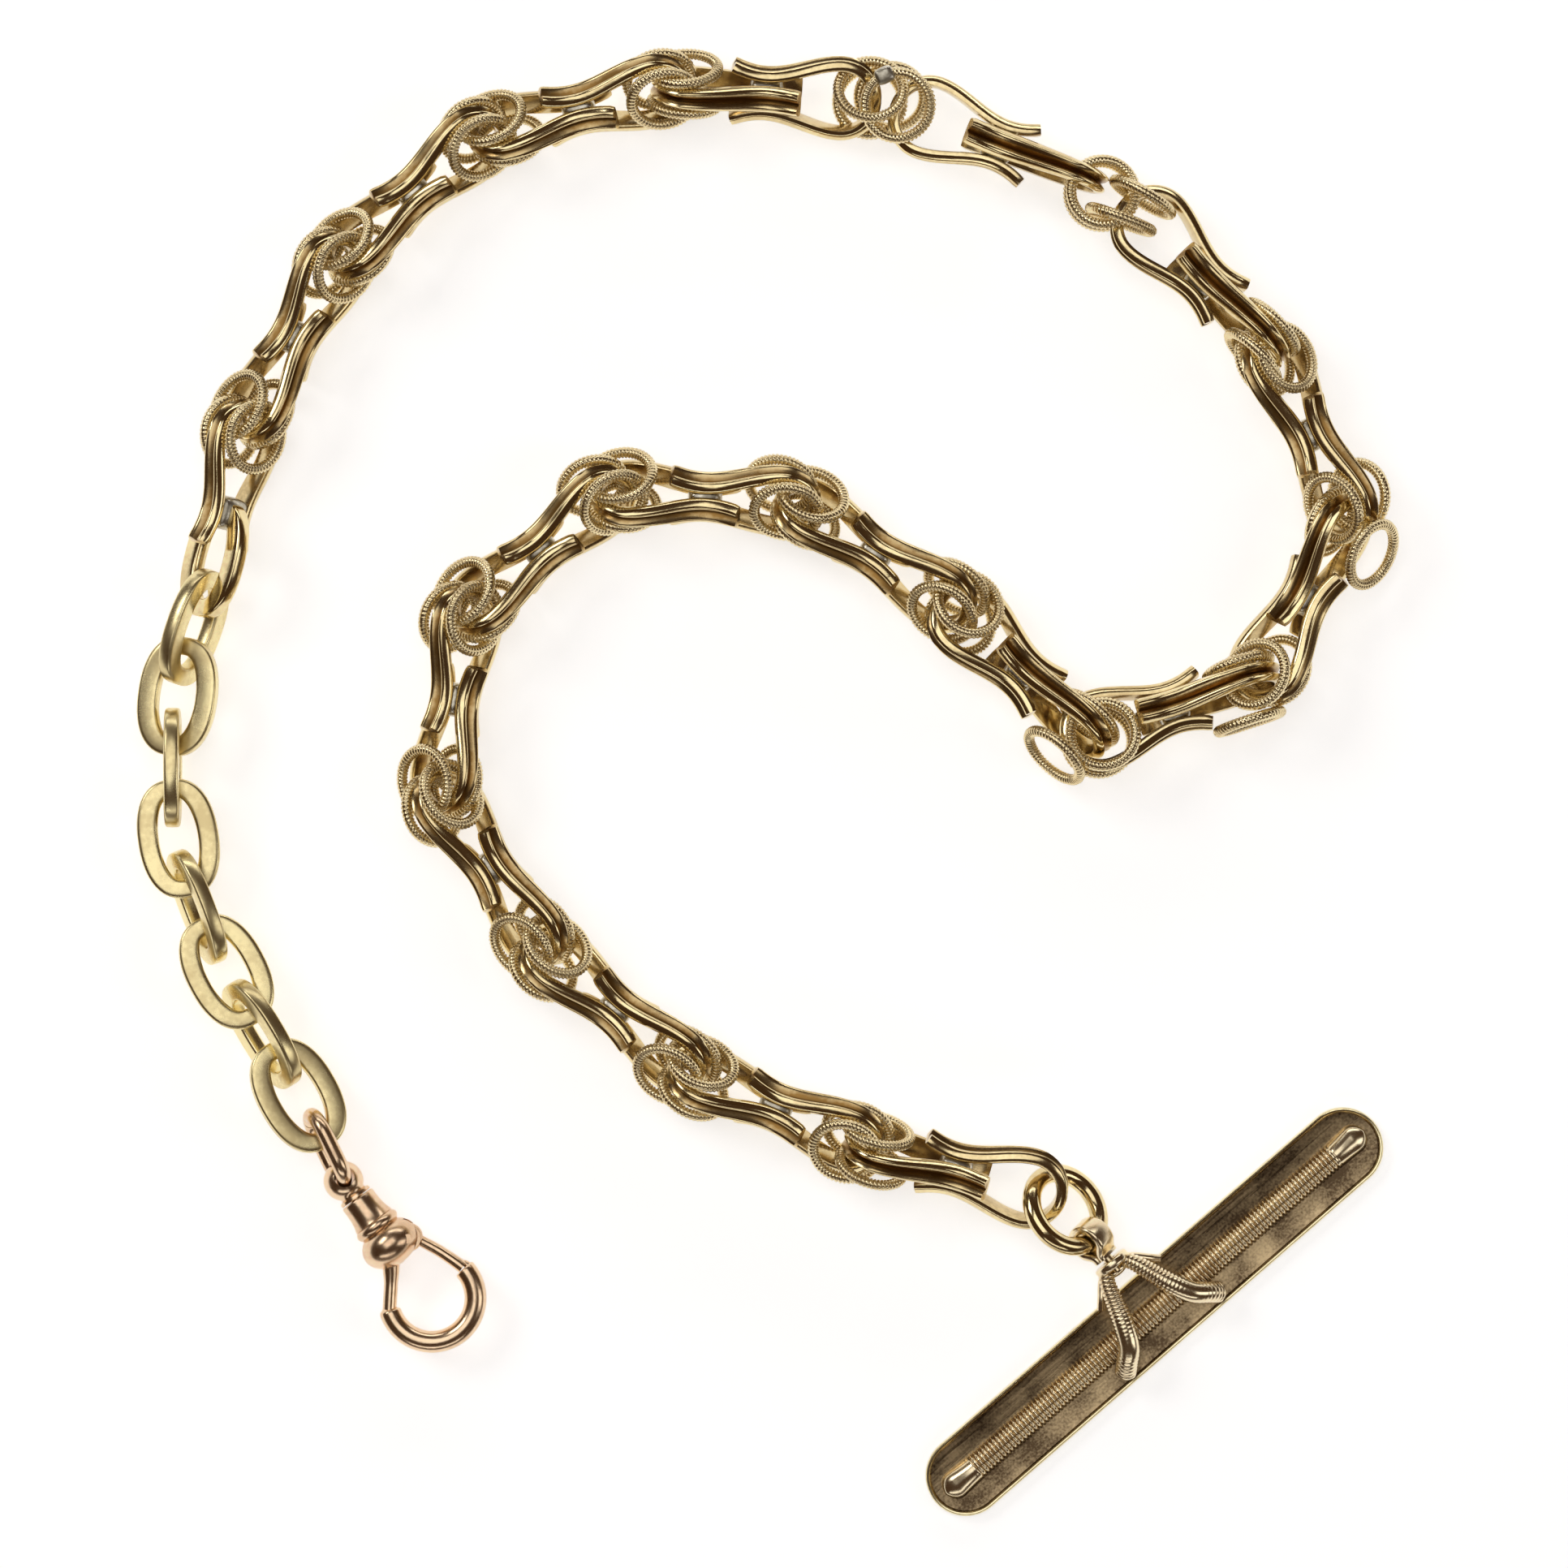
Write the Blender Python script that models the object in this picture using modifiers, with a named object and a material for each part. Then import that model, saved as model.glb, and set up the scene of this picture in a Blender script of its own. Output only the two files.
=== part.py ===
"""Pocket watch chain laid out in a loose S: a T-bar, nineteen soldered stirrup links joined by
beaded rings, flat cable links and a swivel clasp with a sprung gate. Metres, +Z up."""
import math

import bmesh
import bpy
from mathutils import Matrix, Vector

MM = 0.001

# --- stirrup links: two bowed strips set crosswise and soldered at the waist ---
STRIP_THICKNESS = 0.88 * MM
STRIP_WIDTH = 2.05 * MM  # at the waist and the tips
STRIP_WIDTH_AT_BOW = 1.55 * MM
WAIST_GAP = 0.03 * MM  # between a strip's edge and the crossing legs beside it
TIP_REACH = 2.5 * MM  # from the waist to the square-cut tips
TIP_SPREAD = 2.1 * MM  # centreline of a leg at its tip
BELLY_REACH = 5.6 * MM  # from the waist to the widest place
BELLY_SPREAD = 2.7 * MM
BOW_REACH = 8.15 * MM  # from the waist to the centreline of the bow's end
SOLDER_LENGTH = 2.0 * MM
SOLDER_BITE = 0.2 * MM

# --- beaded rings that tie each pair of bows ---
RING_WIRE = 0.72 * MM
RING_OUTER = 5.6 * MM

# --- flat cable links ---
CABLE_LENGTH = 8.9 * MM
CABLE_WIDTH = 6.0 * MM
CABLE_END_BAND = 1.35 * MM  # width of the flat band at the ends
CABLE_SIDE_BAND = 1.55 * MM
CABLE_THICKNESS = 1.15 * MM
CABLE_SLACK = 0.9 * MM  # between the ends of two flat links pulled against each other
SOLDERED_CABLE_SETBACK = 3.5 * MM  # from the first link's waist to the middle of its flat link

# --- swivel clasp ---
SHACKLE_LENGTH = 6.6 * MM
SHACKLE_WIDTH = 4.7 * MM
SHACKLE_WIRE = 1.2 * MM
SHACKLE_SLACK = 0.7 * MM
EYE_DIAMETER = 3.0 * MM
EYE_FIT = 0.5 * MM  # between the shackle's wire and the eye's hole
EYE_HOLE_SETBACK = 0.25 * MM  # of the hole towards the shackle
EYE_FLAT = 1.6 * MM  # across the eye's flattened sides
SWIVEL_GAP = 0.3 * MM
SWIVEL_PIN = 1.2 * MM
SWIVEL_PIN_REACH = 3.1 * MM  # from the eye's centre to the pin's end
BARREL_START = 1.65 * MM
BARREL_DIAMETER = 2.7 * MM
COLLAR_AT = 4.2 * MM
COLLAR_DIAMETER = 3.2 * MM
COLLAR_LENGTH = 0.7 * MM
BALL_AT = 5.8 * MM
BALL_DIAMETER = 4.6 * MM
BALL_LENGTH = 3.4 * MM
HOOK_WIRE = 1.4 * MM
STEM_WIRE = 0.95 * MM
HOOK_AT = 10.9 * MM  # from the eye to the middle of the hook's round end
HOOK_RADIUS = 3.25 * MM  # centreline of the hook's round end
HOOK_OPENS = (-112, 96)  # degrees round that middle where the thick wire starts and ends
GATE_WIRE = 1.0 * MM
GATE_TIP_GAP = 0.3 * MM
GATE_PIN = 0.7 * MM
GATE_KNUCKLE = 2.1 * MM
GATE_KNUCKLE_THICKNESS = 1.1 * MM
GATE_PIN_OFFSET = (0.45 * MM, 1.35 * MM)  # from the ball's centre, along and to the left
GATE_SLOT_REACH = 3.0 * MM

# --- T-bar ---
JUMP_RING_OUTER = 7.3 * MM
JUMP_RING_WIRE = 1.4 * MM
JUMP_RING_ROLL = -42
BOW_TO_JUMP_RING = (-70, 1.0 * MM, -0.4 * MM)  # heading, run and rise from the last bow to its middle
POST_STRAP = 0.45 * MM  # thickness of the strap folded round the jump ring
POST_WIDTH = 1.85 * MM
POST_FIT = 0.35 * MM
POST_LENGTH = 1.7 * MM  # from the centre of its eye to its shoulder
POST_PIN = 0.8 * MM
POST_RIVET = 1.8 * MM
POST_RIVET_THICKNESS = 0.4 * MM
DISC_DIAMETER = 2.9 * MM
DISC_THICKNESS = 0.65 * MM
BAR_LENGTH = 43.3 * MM
BAR_WIDTH = 6.0 * MM
BAR_THICKNESS = 0.9 * MM
RIDGE_RADIUS = 0.7 * MM
RIDGE_END_MARGIN = 1.0 * MM
ARM_WIRE = 1.3 * MM
ARM_WIRE_AT_DISC = 1.0 * MM
ARM_SPREAD = 5.0 * MM  # along the bar, from its middle to where an arm lands
ARM_REACH = 2.4 * MM  # across the bar, from its middle line to where an arm lands
DISC_STANDOFF = 5.0 * MM  # from the bar's middle line to the disc
DISC_HEIGHT = 2.9 * MM
LAND_GAP = 0.3 * MM  # between pieces that rest on each other

# --- how the chain lies ---
AXIS_HEIGHT = 3.3 * MM  # of the chain's axis above the floor
FIRST_WAIST = (-40.1 * MM, 20.29 * MM)
# heading and roll, in degrees, and overlap to the next bow, in millimetres, from the clasp to the bar
LINKS = (
    (76, 45, 1.1),
    (61, 45, 1.1),
    (40, 45, 1.1),
    (14, 45, 1.1),
    (-4, 25, -0.8),
    (-21, 90, -1.2),
    (-46, 80, 1.1),
    (-65, 50, 1.35),
    (-119, 36, 1.3),
    (-162, 14, 1.5),
    (136, 22, 1.1),
    (146, 45, 1.25),
    (177, 45, 1.3),
    (-141, 45, 1.3),
    (-99, 45, 1.3),
    (-57, 45, 1.1),
    (-40, 45, 1.1),
    (-23, 40, 1.1),
    (-15, 22, 0.0),
)
# heading and roll, in degrees, and height, in millimetres, of each flat link towards the clasp
CABLES = (
    (-109, -60, 3.25),
    (-98, 12, 3.2),
    (-90, 88, 3.2),
    (-81, -2, 3.1),
    (-69, 68, 3.05),
    (-62, -8, 3.0),
    (-59, 60, 2.98),
    (-60, -14, 2.9),
)
SHACKLE_POSE = (-64, 75, 2.7)
SWIVEL_HEADING = -53
SWIVEL_HEIGHT = 2.45
POST_HEADING = -49

# for each joint, the ring that is modelled: whether it goes round the next link's bow or this one's,
# its twist in degrees, how far it has slid along, and how far it stands from the strip's middle plane
RINGS = (
    (True, 0, 0, 1.65),
    (True, 0, 0.3, 1.65),
    (True, 0, 0, 1.8),
    (True, 0, 0.3, 1.65),
    (True, -20, 0, 1.8),
    (True, 0, 0, 1.435),
    (True, 0, 0.6, 1.65),
    (False, 0, 0.9, 1.55),
    (True, 0, 0.9, 1.8),
    (False, 0, 0, 1.55),
    (False, 0, -0.6, 1.435),
    (False, 0, -0.3, 1.95),
    (False, 0, -0.6, 1.95),
    (False, 0, -0.3, 1.95),
    (False, 0, -0.3, 1.95),
    (False, 0, -0.3, 1.65),
    (False, 0, -0.3, 1.65),
    (False, 0, -0.3, 1.55),
)


def clear_scene():
    for obj in list(bpy.data.objects):
        bpy.data.objects.remove(obj, do_unlink=True)


def new_collection(name):
    collection = bpy.data.collections.new(name)
    bpy.context.scene.collection.children.link(collection)
    return collection


def material(name, colour, roughness):
    made = bpy.data.materials.new(name)
    made.use_nodes = True
    shader = made.node_tree.nodes["Principled BSDF"]
    shader.inputs["Base Color"].default_value = (*colour, 1)
    shader.inputs["Metallic"].default_value = 1
    shader.inputs["Roughness"].default_value = roughness
    made.diffuse_color = (*colour, 1)
    return made


def place(heading, roll, centre):
    """Where a link lies: its own +X along the heading, rolled about that axis."""
    turn = Matrix.Rotation(math.radians(heading), 4, "Z") @ Matrix.Rotation(math.radians(roll), 4, "X")
    return Matrix.Translation(centre) @ turn


def mesh_object(name, bm, collection, finish=None):
    bmesh.ops.recalc_face_normals(bm, faces=bm.faces)
    mesh = bpy.data.meshes.new(name)
    bm.to_mesh(mesh)
    bm.free()
    obj = bpy.data.objects.new(name, mesh)
    collection.objects.link(obj)
    if finish:
        mesh.materials.append(finish)
    return obj


def helper(obj):
    obj.hide_render = True
    obj.display_type = "WIRE"
    return obj


def evaluated_mesh(obj, name):
    graph = bpy.context.evaluated_depsgraph_get()
    graph.update()
    mesh = bpy.data.meshes.new_from_object(obj.evaluated_get(graph))
    mesh.name = name
    return mesh


def smooth(mesh):
    mesh.shade_smooth()
    mesh.set_sharp_from_angle(angle=math.radians(35))


def join(obj, others, operation="UNION"):
    for other in others:
        modifier = obj.modifiers.new(other.name, "BOOLEAN")
        modifier.operation = operation
        modifier.solver = "EXACT"
        modifier.object = other
    return obj


def ease(share):
    """A smooth step from 0 to 1."""
    share = min(max(share, 0), 1)
    return share * share * (3 - 2 * share)


def leg_spread(x):
    """How far a leg's centreline stands from the link's axis, x metres from the waist towards the bow."""
    waist = STRIP_WIDTH / 2 + WAIST_GAP + STRIP_THICKNESS / 2
    if x < 0:
        return waist + (TIP_SPREAD - waist) * (x / TIP_REACH) ** 2
    return waist + (BELLY_SPREAD - waist) * ease(x / BELLY_REACH)


def strip_width(x):
    return STRIP_WIDTH - (STRIP_WIDTH - STRIP_WIDTH_AT_BOW) * ease(x / BOW_REACH)


def stirrup_line():
    """Points (x, y) of a stirrup's centreline, tip to tip round the bow."""
    steps = (-1, -0.5, 0, 0.33, 0.66, 1)
    xs = [step * (TIP_REACH if step < 0 else BELLY_REACH) for step in steps]
    side = [(x, leg_spread(x)) for x in xs]
    bow = BOW_REACH - BELLY_REACH
    for angle in (22.5, 45, 67.5, 90):
        turn = math.radians(angle)
        side.append((BELLY_REACH + bow * math.sin(turn), BELLY_SPREAD * math.cos(turn)))
    return side + [(x, -y) for x, y in reversed(side[:-1])]


def stirrup(name, collection):
    """One bowed strip in its own XY plane with the bow at +X: a ribbon given its thickness."""
    bm = bmesh.new()
    lower = [bm.verts.new((x, y, -strip_width(x) / 2)) for x, y in stirrup_line()]
    edges = [bm.edges.new(pair) for pair in zip(lower, lower[1:])]
    made = bmesh.ops.extrude_edge_only(bm, edges=edges)["geom"]
    for vert in made:
        if isinstance(vert, bmesh.types.BMVert):
            vert.co.z = -vert.co.z
    obj = mesh_object(name, bm, collection)
    wall = obj.modifiers.new("Wall", "SOLIDIFY")
    wall.thickness = STRIP_THICKNESS
    wall.offset = 0
    wall.use_even_offset = True
    return obj


def box(name, size, centre, collection):
    bm = bmesh.new()
    bmesh.ops.create_cube(bm, size=1, matrix=Matrix.Translation(centre) @ Matrix.Diagonal((*size, 1)))
    return mesh_object(name, bm, collection)


def stadium(length, width, steps):
    """Points (x, y) round an oval with straight sides."""
    radius = width / 2
    run = length / 2 - radius
    points = []
    for end in (1, -1):
        for i in range(steps + 1):
            turn = math.pi * (i / steps - 0.5)
            points.append((end * (run + radius * math.cos(turn)), end * radius * math.sin(turn)))
    return points


def wire(name, points, radii, cyclic, collection, sides=8):
    """A round wire along a curve through these points, as a mesh object."""
    curve = bpy.data.curves.new(name, "CURVE")
    curve.dimensions = "3D"
    curve.bevel_depth = 1
    curve.bevel_resolution = sides // 2 - 2
    curve.use_fill_caps = True
    spline = curve.splines.new("POLY")
    spline.points.add(len(points) - 1)
    for point, co, radius in zip(spline.points, points, radii):
        point.co = (*co, 1)
        point.radius = radius
    spline.use_cyclic_u = cyclic
    bent = bpy.data.objects.new(name, curve)
    collection.objects.link(bent)
    mesh = evaluated_mesh(bent, name)
    bpy.data.objects.remove(bent)
    bm = bmesh.new()
    bm.from_mesh(mesh)
    bmesh.ops.remove_doubles(bm, verts=bm.verts, dist=0.001 * MM)
    bmesh.ops.recalc_face_normals(bm, faces=bm.faces)
    bm.to_mesh(mesh)
    bm.free()
    obj = bpy.data.objects.new(name, mesh)
    collection.objects.link(obj)
    return obj


def flat_plate(name, outlines, thickness, collection):
    """A plate in the XY plane between an outer outline and any inner ones."""
    outline = bpy.data.curves.new(name, "CURVE")
    outline.dimensions = "2D"
    outline.fill_mode = "BOTH"
    outline.extrude = thickness / 2
    for points in outlines:
        spline = outline.splines.new("POLY")
        spline.points.add(len(points) - 1)
        for point, (x, y) in zip(spline.points, points):
            point.co = (x, y, 0, 1)
        spline.use_cyclic_u = True
    flat = bpy.data.objects.new(name, outline)
    collection.objects.link(flat)
    mesh = evaluated_mesh(flat, name)
    bpy.data.objects.remove(flat)
    bm = bmesh.new()
    bm.from_mesh(mesh)
    bmesh.ops.remove_doubles(bm, verts=bm.verts, dist=0.001 * MM)
    bmesh.ops.recalc_face_normals(bm, faces=bm.faces)
    bm.to_mesh(mesh)
    bm.free()
    obj = bpy.data.objects.new(name, mesh)
    collection.objects.link(obj)
    return obj


def turned(name, profile, collection, steps=16):
    """A solid of revolution about X from (x, radius) points that start and end on the axis."""
    bm = bmesh.new()
    verts = [bm.verts.new((x, radius, 0)) for x, radius in profile]
    edges = [bm.edges.new(pair) for pair in zip(verts, verts[1:])]
    bmesh.ops.spin(
        bm,
        geom=verts + edges,
        axis=(1, 0, 0),
        cent=(0, 0, 0),
        angle=2 * math.pi,
        steps=steps,
        use_merge=True,
    )
    bmesh.ops.remove_doubles(bm, verts=bm.verts, dist=0.001 * MM)
    return mesh_object(name, bm, collection)


def rod(name, radius, start, end, collection, sides=16):
    """A cylinder between two points."""
    start, end = Vector(start), Vector(end)
    run = end - start
    turn = run.to_track_quat("Z", "Y").to_matrix().to_4x4()
    bm = bmesh.new()
    bmesh.ops.create_cone(
        bm,
        cap_ends=True,
        segments=sides,
        radius1=radius,
        radius2=radius,
        depth=run.length,
        matrix=Matrix.Translation((start + end) / 2) @ turn,
    )
    return mesh_object(name, bm, collection)


def flat_link(name, collection):
    """A flat oval link in its own XY plane, long way along X."""
    outer = stadium(CABLE_LENGTH, CABLE_WIDTH, 6)
    inner = stadium(CABLE_LENGTH - 2 * CABLE_END_BAND, CABLE_WIDTH - 2 * CABLE_SIDE_BAND, 6)
    return flat_plate(name, (outer, inner), CABLE_THICKNESS, collection)


def ring_mesh(name, outer, wire, around, across):
    """A round wire ring about its own Z."""
    bpy.ops.mesh.primitive_torus_add(
        major_radius=(outer - wire) / 2, minor_radius=wire / 2, major_segments=around, minor_segments=across
    )
    obj = bpy.context.object
    mesh = obj.data
    mesh.name = name
    bpy.data.objects.remove(obj)
    smooth(mesh)
    return mesh


def finished(obj, name, *tools):
    """The evaluated mesh of a built object, shaded, with the objects that made it set aside."""
    mesh = evaluated_mesh(obj, name)
    smooth(mesh)
    for tool in (obj, *tools):
        helper(tool)
    return mesh


def waist_solder(name, collection):
    core = STRIP_WIDTH + 2 * (WAIST_GAP + SOLDER_BITE)
    return box(name, (SOLDER_LENGTH, core, core), (0, 0, 0), collection)


def stirrup_link_mesh(tools):
    """Two stirrups back to back in crossed planes, with the solder that fills the waist."""
    fore = stirrup("stirrup_fore", tools)
    aft = stirrup("stirrup_aft", tools)
    aft.matrix_world = Matrix.Rotation(math.pi, 4, "Z") @ Matrix.Rotation(math.pi / 2, 4, "X")
    solder = join(waist_solder("waist_solder", tools), (fore, aft))
    return finished(solder, "stirrup_link", fore, aft)


def end_link_mesh(tools):
    """The first link: one stirrup with a flat link soldered between its legs."""
    fore = stirrup("end_stirrup", tools)
    flat = flat_link("soldered_flat_link", tools)
    flat.matrix_world = Matrix.Translation((-SOLDERED_CABLE_SETBACK, 0, 0)) @ Matrix.Rotation(math.pi / 2, 4, "X")
    solder = join(waist_solder("end_solder", tools), (fore, flat))
    return finished(solder, "end_link", fore, flat)


def put(name, mesh, matrix, collection, finish):
    obj = bpy.data.objects.new(name, mesh)
    collection.objects.link(obj)
    obj.matrix_world = matrix
    if not mesh.materials:
        mesh.materials.append(finish)
    return obj


def heading_vector(heading):
    return Vector((math.cos(math.radians(heading)), math.sin(math.radians(heading)), 0))


def chain_frames():
    """The matrix of each stirrup link, from the clasp to the bar."""
    frames = []
    centre = Vector((*FIRST_WAIST, AXIS_HEIGHT))
    for i, (heading, roll, _) in enumerate(LINKS):
        ahead = heading_vector(heading)
        if i:
            centre = centre + ahead * (BOW_REACH - LINKS[i - 1][2] * MM)
        frames.append(place(heading, roll, centre))
        centre = centre + ahead * (BOW_REACH - LINKS[i][2] * MM)
    return frames


def cable_frames(first):
    """The matrix of each loose flat link, from the soldered one to the clasp."""
    frames = []
    middle = first @ Vector((-SOLDERED_CABLE_SETBACK, 0, 0))
    step = (CABLE_LENGTH / 2 - CABLE_END_BAND) - CABLE_SLACK / 2
    before = heading_vector(LINKS[0][0] + 180)
    for heading, roll, height in CABLES:
        ahead = heading_vector(heading)
        middle = middle + (before + ahead) * step
        middle.z = height * MM
        frames.append(place(heading, roll, middle))
        before = ahead
    return frames


def shackle_frame(last):
    heading, roll, height = SHACKLE_POSE
    middle = last @ Vector((CABLE_LENGTH / 2 - CABLE_END_BAND, 0, 0))
    middle += heading_vector(heading) * (SHACKLE_LENGTH / 2 - SHACKLE_WIRE - SHACKLE_SLACK)
    middle.z = height * MM
    return place(heading, roll, middle)


def swivel_frame(shackle):
    middle = shackle @ Vector(((SHACKLE_LENGTH - SHACKLE_WIRE) / 2, 0, 0))
    middle.z = SWIVEL_HEIGHT * MM
    return place(SWIVEL_HEADING, 0, middle)


def jump_ring_frame(last):
    bow = last @ Vector((BOW_REACH, 0, 0))
    heading, run, rise = BOW_TO_JUMP_RING
    middle = bow + heading_vector(heading) * run + Vector((0, 0, rise))
    return place(POST_HEADING, JUMP_RING_ROLL, middle)


def post_frame(jump_ring):
    """At the jump ring's wire, where the post's eye goes round it."""
    return jump_ring @ Matrix.Translation(((JUMP_RING_OUTER - JUMP_RING_WIRE) / 2, 0, 0))


def disc_at():
    """From the post's eye to the middle of the disc."""
    return POST_LENGTH + LAND_GAP + DISC_THICKNESS / 2


def bar_frame(post):
    """The bar's own frame: X along it, Y towards the disc, Z up, on the floor."""
    ahead = heading_vector(POST_HEADING)
    middle = post.translation + ahead * (disc_at() + DISC_STANDOFF)
    middle.z = 0
    return place(POST_HEADING + 90, 0, middle)


def axis_of(matrix, index):
    return matrix.col[index].to_3d().normalized()


def ring_seat(frames, i):
    """The middle and the upward normal of the pair of rings that stand on each side of one link's
    strip between links i and i + 1, going round the other's bow."""
    this, following = frames[i], frames[i + 1]
    round_next, twist, slide, _ = RINGS[i]
    if round_next:
        middle = following @ Vector((-BOW_REACH, 0, 0))
        normal = axis_of(this, 2)
    else:
        middle = this @ Vector((BOW_REACH, 0, 0))
        normal = axis_of(following, 1)
    along = (axis_of(this, 0) + axis_of(following, 0)).normalized()
    normal = Matrix.Rotation(math.radians(twist), 3, along) @ normal
    return middle + along * slide * MM, normal if normal.z >= 0 else -normal


def ring_frame(frames, i):
    middle, normal = ring_seat(frames, i)
    centre = middle + normal * RINGS[i][3] * MM
    return Matrix.Translation(centre) @ normal.to_track_quat("Z", "Y").to_matrix().to_4x4()


def shackle_mesh(tools):
    line = stadium(SHACKLE_LENGTH - SHACKLE_WIRE, SHACKLE_WIDTH - SHACKLE_WIRE, 5)
    radii = [SHACKLE_WIRE / 2] * len(line)
    bent = wire("shackle_wire", [(x, y, 0) for x, y in line], radii, True, tools)
    return finished(bent, "shackle")


def swivel_eye_mesh(tools):
    """A drilled ball with the pin that turns in the barrel."""
    radius = EYE_DIAMETER / 2
    arc = [(-radius * math.cos(math.pi * i / 10), radius * math.sin(math.pi * i / 10)) for i in range(9)]
    pin = SWIVEL_PIN / 2
    profile = [(x, r) for x, r in arc if r >= pin or x < 0]
    profile += [(math.sqrt(radius**2 - pin**2), pin), (SWIVEL_PIN_REACH, pin), (SWIVEL_PIN_REACH, 0)]
    ball = turned("eye_ball", profile, tools)
    hole = SHACKLE_WIRE / 2 + EYE_FIT
    back = -EYE_HOLE_SETBACK
    drill = rod("eye_drill", hole, (back, -EYE_DIAMETER, 0), (back, EYE_DIAMETER, 0), tools)
    slab = box("eye_sides", (3 * EYE_DIAMETER, EYE_FLAT, EYE_DIAMETER), (0, 0, 0), tools)
    for tool in (drill, slab):
        tool.matrix_world = Matrix.Rotation(math.radians(SHACKLE_POSE[1]), 4, "X")
    join(ball, (slab,), "INTERSECT")
    join(ball, (drill,), "DIFFERENCE")
    return finished(ball, "swivel_eye", drill, slab)


def hook_line():
    """Points and radii of the hook's wire, from inside the ball round to the tip."""
    thin, thick = STEM_WIRE / 2, HOOK_WIRE / 2
    first, last = HOOK_OPENS
    arc = []
    for i in range(13):
        turn = math.radians(first + (last - first) * i / 12)
        arc.append((HOOK_AT + HOOK_RADIUS * math.cos(turn), HOOK_RADIUS * math.sin(turn), 0))
    root = (BALL_AT + 0.6 * MM, -0.3 * MM, 0)
    stem = [(BALL_AT + 2.3 * MM, -1.2 * MM, 0), (arc[0][0] - 0.9 * MM, arc[0][1] + 0.55 * MM, 0)]
    tips = [thick - 0.15 * MM] + [thick] * 10 + [thick - 0.05 * MM, thick - 0.15 * MM]
    return [root, *stem, *arc], [thin, thin, thin, *tips]


def swivel_body_mesh(tools):
    """Barrel, collar, ball and hook: turned, slotted for the gate and drilled for the pin."""
    barrel, collar, ball = BARREL_DIAMETER / 2, COLLAR_DIAMETER / 2, BALL_DIAMETER / 2
    socket = SWIVEL_PIN / 2 + SWIVEL_GAP
    depth = SWIVEL_PIN_REACH + SWIVEL_GAP
    collar_from = COLLAR_AT - COLLAR_LENGTH / 2
    collar_to = COLLAR_AT + COLLAR_LENGTH / 2
    profile = [(depth, 0), (depth, socket), (BARREL_START, socket), (BARREL_START, barrel)]
    profile += [(collar_from, barrel), (collar_from + 0.15 * MM, collar), (collar_to - 0.15 * MM, collar)]
    meets = math.acos((BALL_AT - collar_to) / (BALL_LENGTH / 2))
    for i in range(9):
        turn = meets + (math.pi - meets) * i / 8
        reach = BALL_AT - BALL_LENGTH / 2 * math.cos(turn)
        profile.append((reach, ball * math.sin(turn) if i < 8 else 0))
    body = turned("swivel_turning", profile, tools, steps=18)
    along, left = GATE_PIN_OFFSET
    width = GATE_KNUCKLE_THICKNESS + 2 * SWIVEL_GAP
    reach = GATE_KNUCKLE / 2 + SWIVEL_GAP
    slot_from = (BALL_AT + along - reach, left - reach)
    size = (GATE_SLOT_REACH + reach, GATE_SLOT_REACH + reach, width)
    middle = (slot_from[0] + size[0] / 2, slot_from[1] + size[1] / 2, 0)
    slot = box("gate_slot", size, middle, tools)
    points, radii = hook_line()
    hook = wire("hook_wire", points, radii, False, tools)
    pivot = (BALL_AT + along, left)
    pin = rod("gate_pin", GATE_PIN / 2, (*pivot, -ball * 0.75), (*pivot, ball * 0.75), tools)
    join(body, (slot,), "DIFFERENCE")
    join(body, (hook, pin))
    return finished(body, "swivel_body", slot, hook, pin)


def gate_tip():
    """Where the gate's wire ends, short of the hook's tip."""
    points, radii = hook_line()
    tip = Vector(points[-1])
    inward = (tip - Vector(points[-2])).normalized()
    return tip + inward * (GATE_TIP_GAP + GATE_WIRE / 2)


def gate_mesh(tools):
    """The gate about its own pivot: a drilled knuckle and a wire that runs to the hook's tip."""
    along, left = GATE_PIN_OFFSET
    half = GATE_KNUCKLE_THICKNESS / 2
    knuckle = rod("gate_knuckle", GATE_KNUCKLE / 2, (0, 0, -half), (0, 0, half), tools)
    tip = gate_tip() - Vector((BALL_AT + along, left, 0))
    side = Vector((-tip.y, tip.x, 0)).normalized()
    line = [tip * 0.2 + side * 0.25 * MM, tip * 0.5 + side * 0.3 * MM, tip * 0.8 + side * 0.2 * MM, tip]
    radii = [GATE_WIRE / 2] * len(line)
    bent = wire("gate_wire", line, radii, False, tools)
    drill = rod("gate_drill", GATE_PIN / 2 + SWIVEL_GAP, (0, 0, -2 * half), (0, 0, 2 * half), tools)
    join(knuckle, (bent,))
    join(knuckle, (drill,), "DIFFERENCE")
    return finished(knuckle, "gate", bent, drill)


def post_mesh(tools):
    """A strap folded round the jump ring, with the riveted pin that turns in the disc."""
    inner = JUMP_RING_WIRE / 2 + POST_FIT
    outer = inner + POST_STRAP
    half = POST_WIDTH / 2
    strap = rod("post_strap", outer, (0, -half, 0), (0, half, 0), tools, sides=20)
    size = (POST_LENGTH, POST_WIDTH, 2 * outer)
    shank = box("post_shank", size, (POST_LENGTH / 2, 0, 0), tools)
    under_head = POST_LENGTH + DISC_THICKNESS + 2 * LAND_GAP
    end = under_head + POST_RIVET_THICKNESS
    pin = rod("post_pin", POST_PIN / 2, (inner + 0.1 * MM, 0, 0), (end, 0, 0), tools)
    rivet = rod("post_rivet", POST_RIVET / 2, (under_head, 0, 0), (end + 0.05 * MM, 0, 0), tools)
    drill = rod("post_drill", inner, (0, -POST_WIDTH, 0), (0, POST_WIDTH, 0), tools, sides=20)
    join(strap, (shank,))
    join(strap, (pin, rivet))
    join(strap, (drill,), "DIFFERENCE")
    return finished(strap, "post", shank, pin, rivet, drill)


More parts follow.
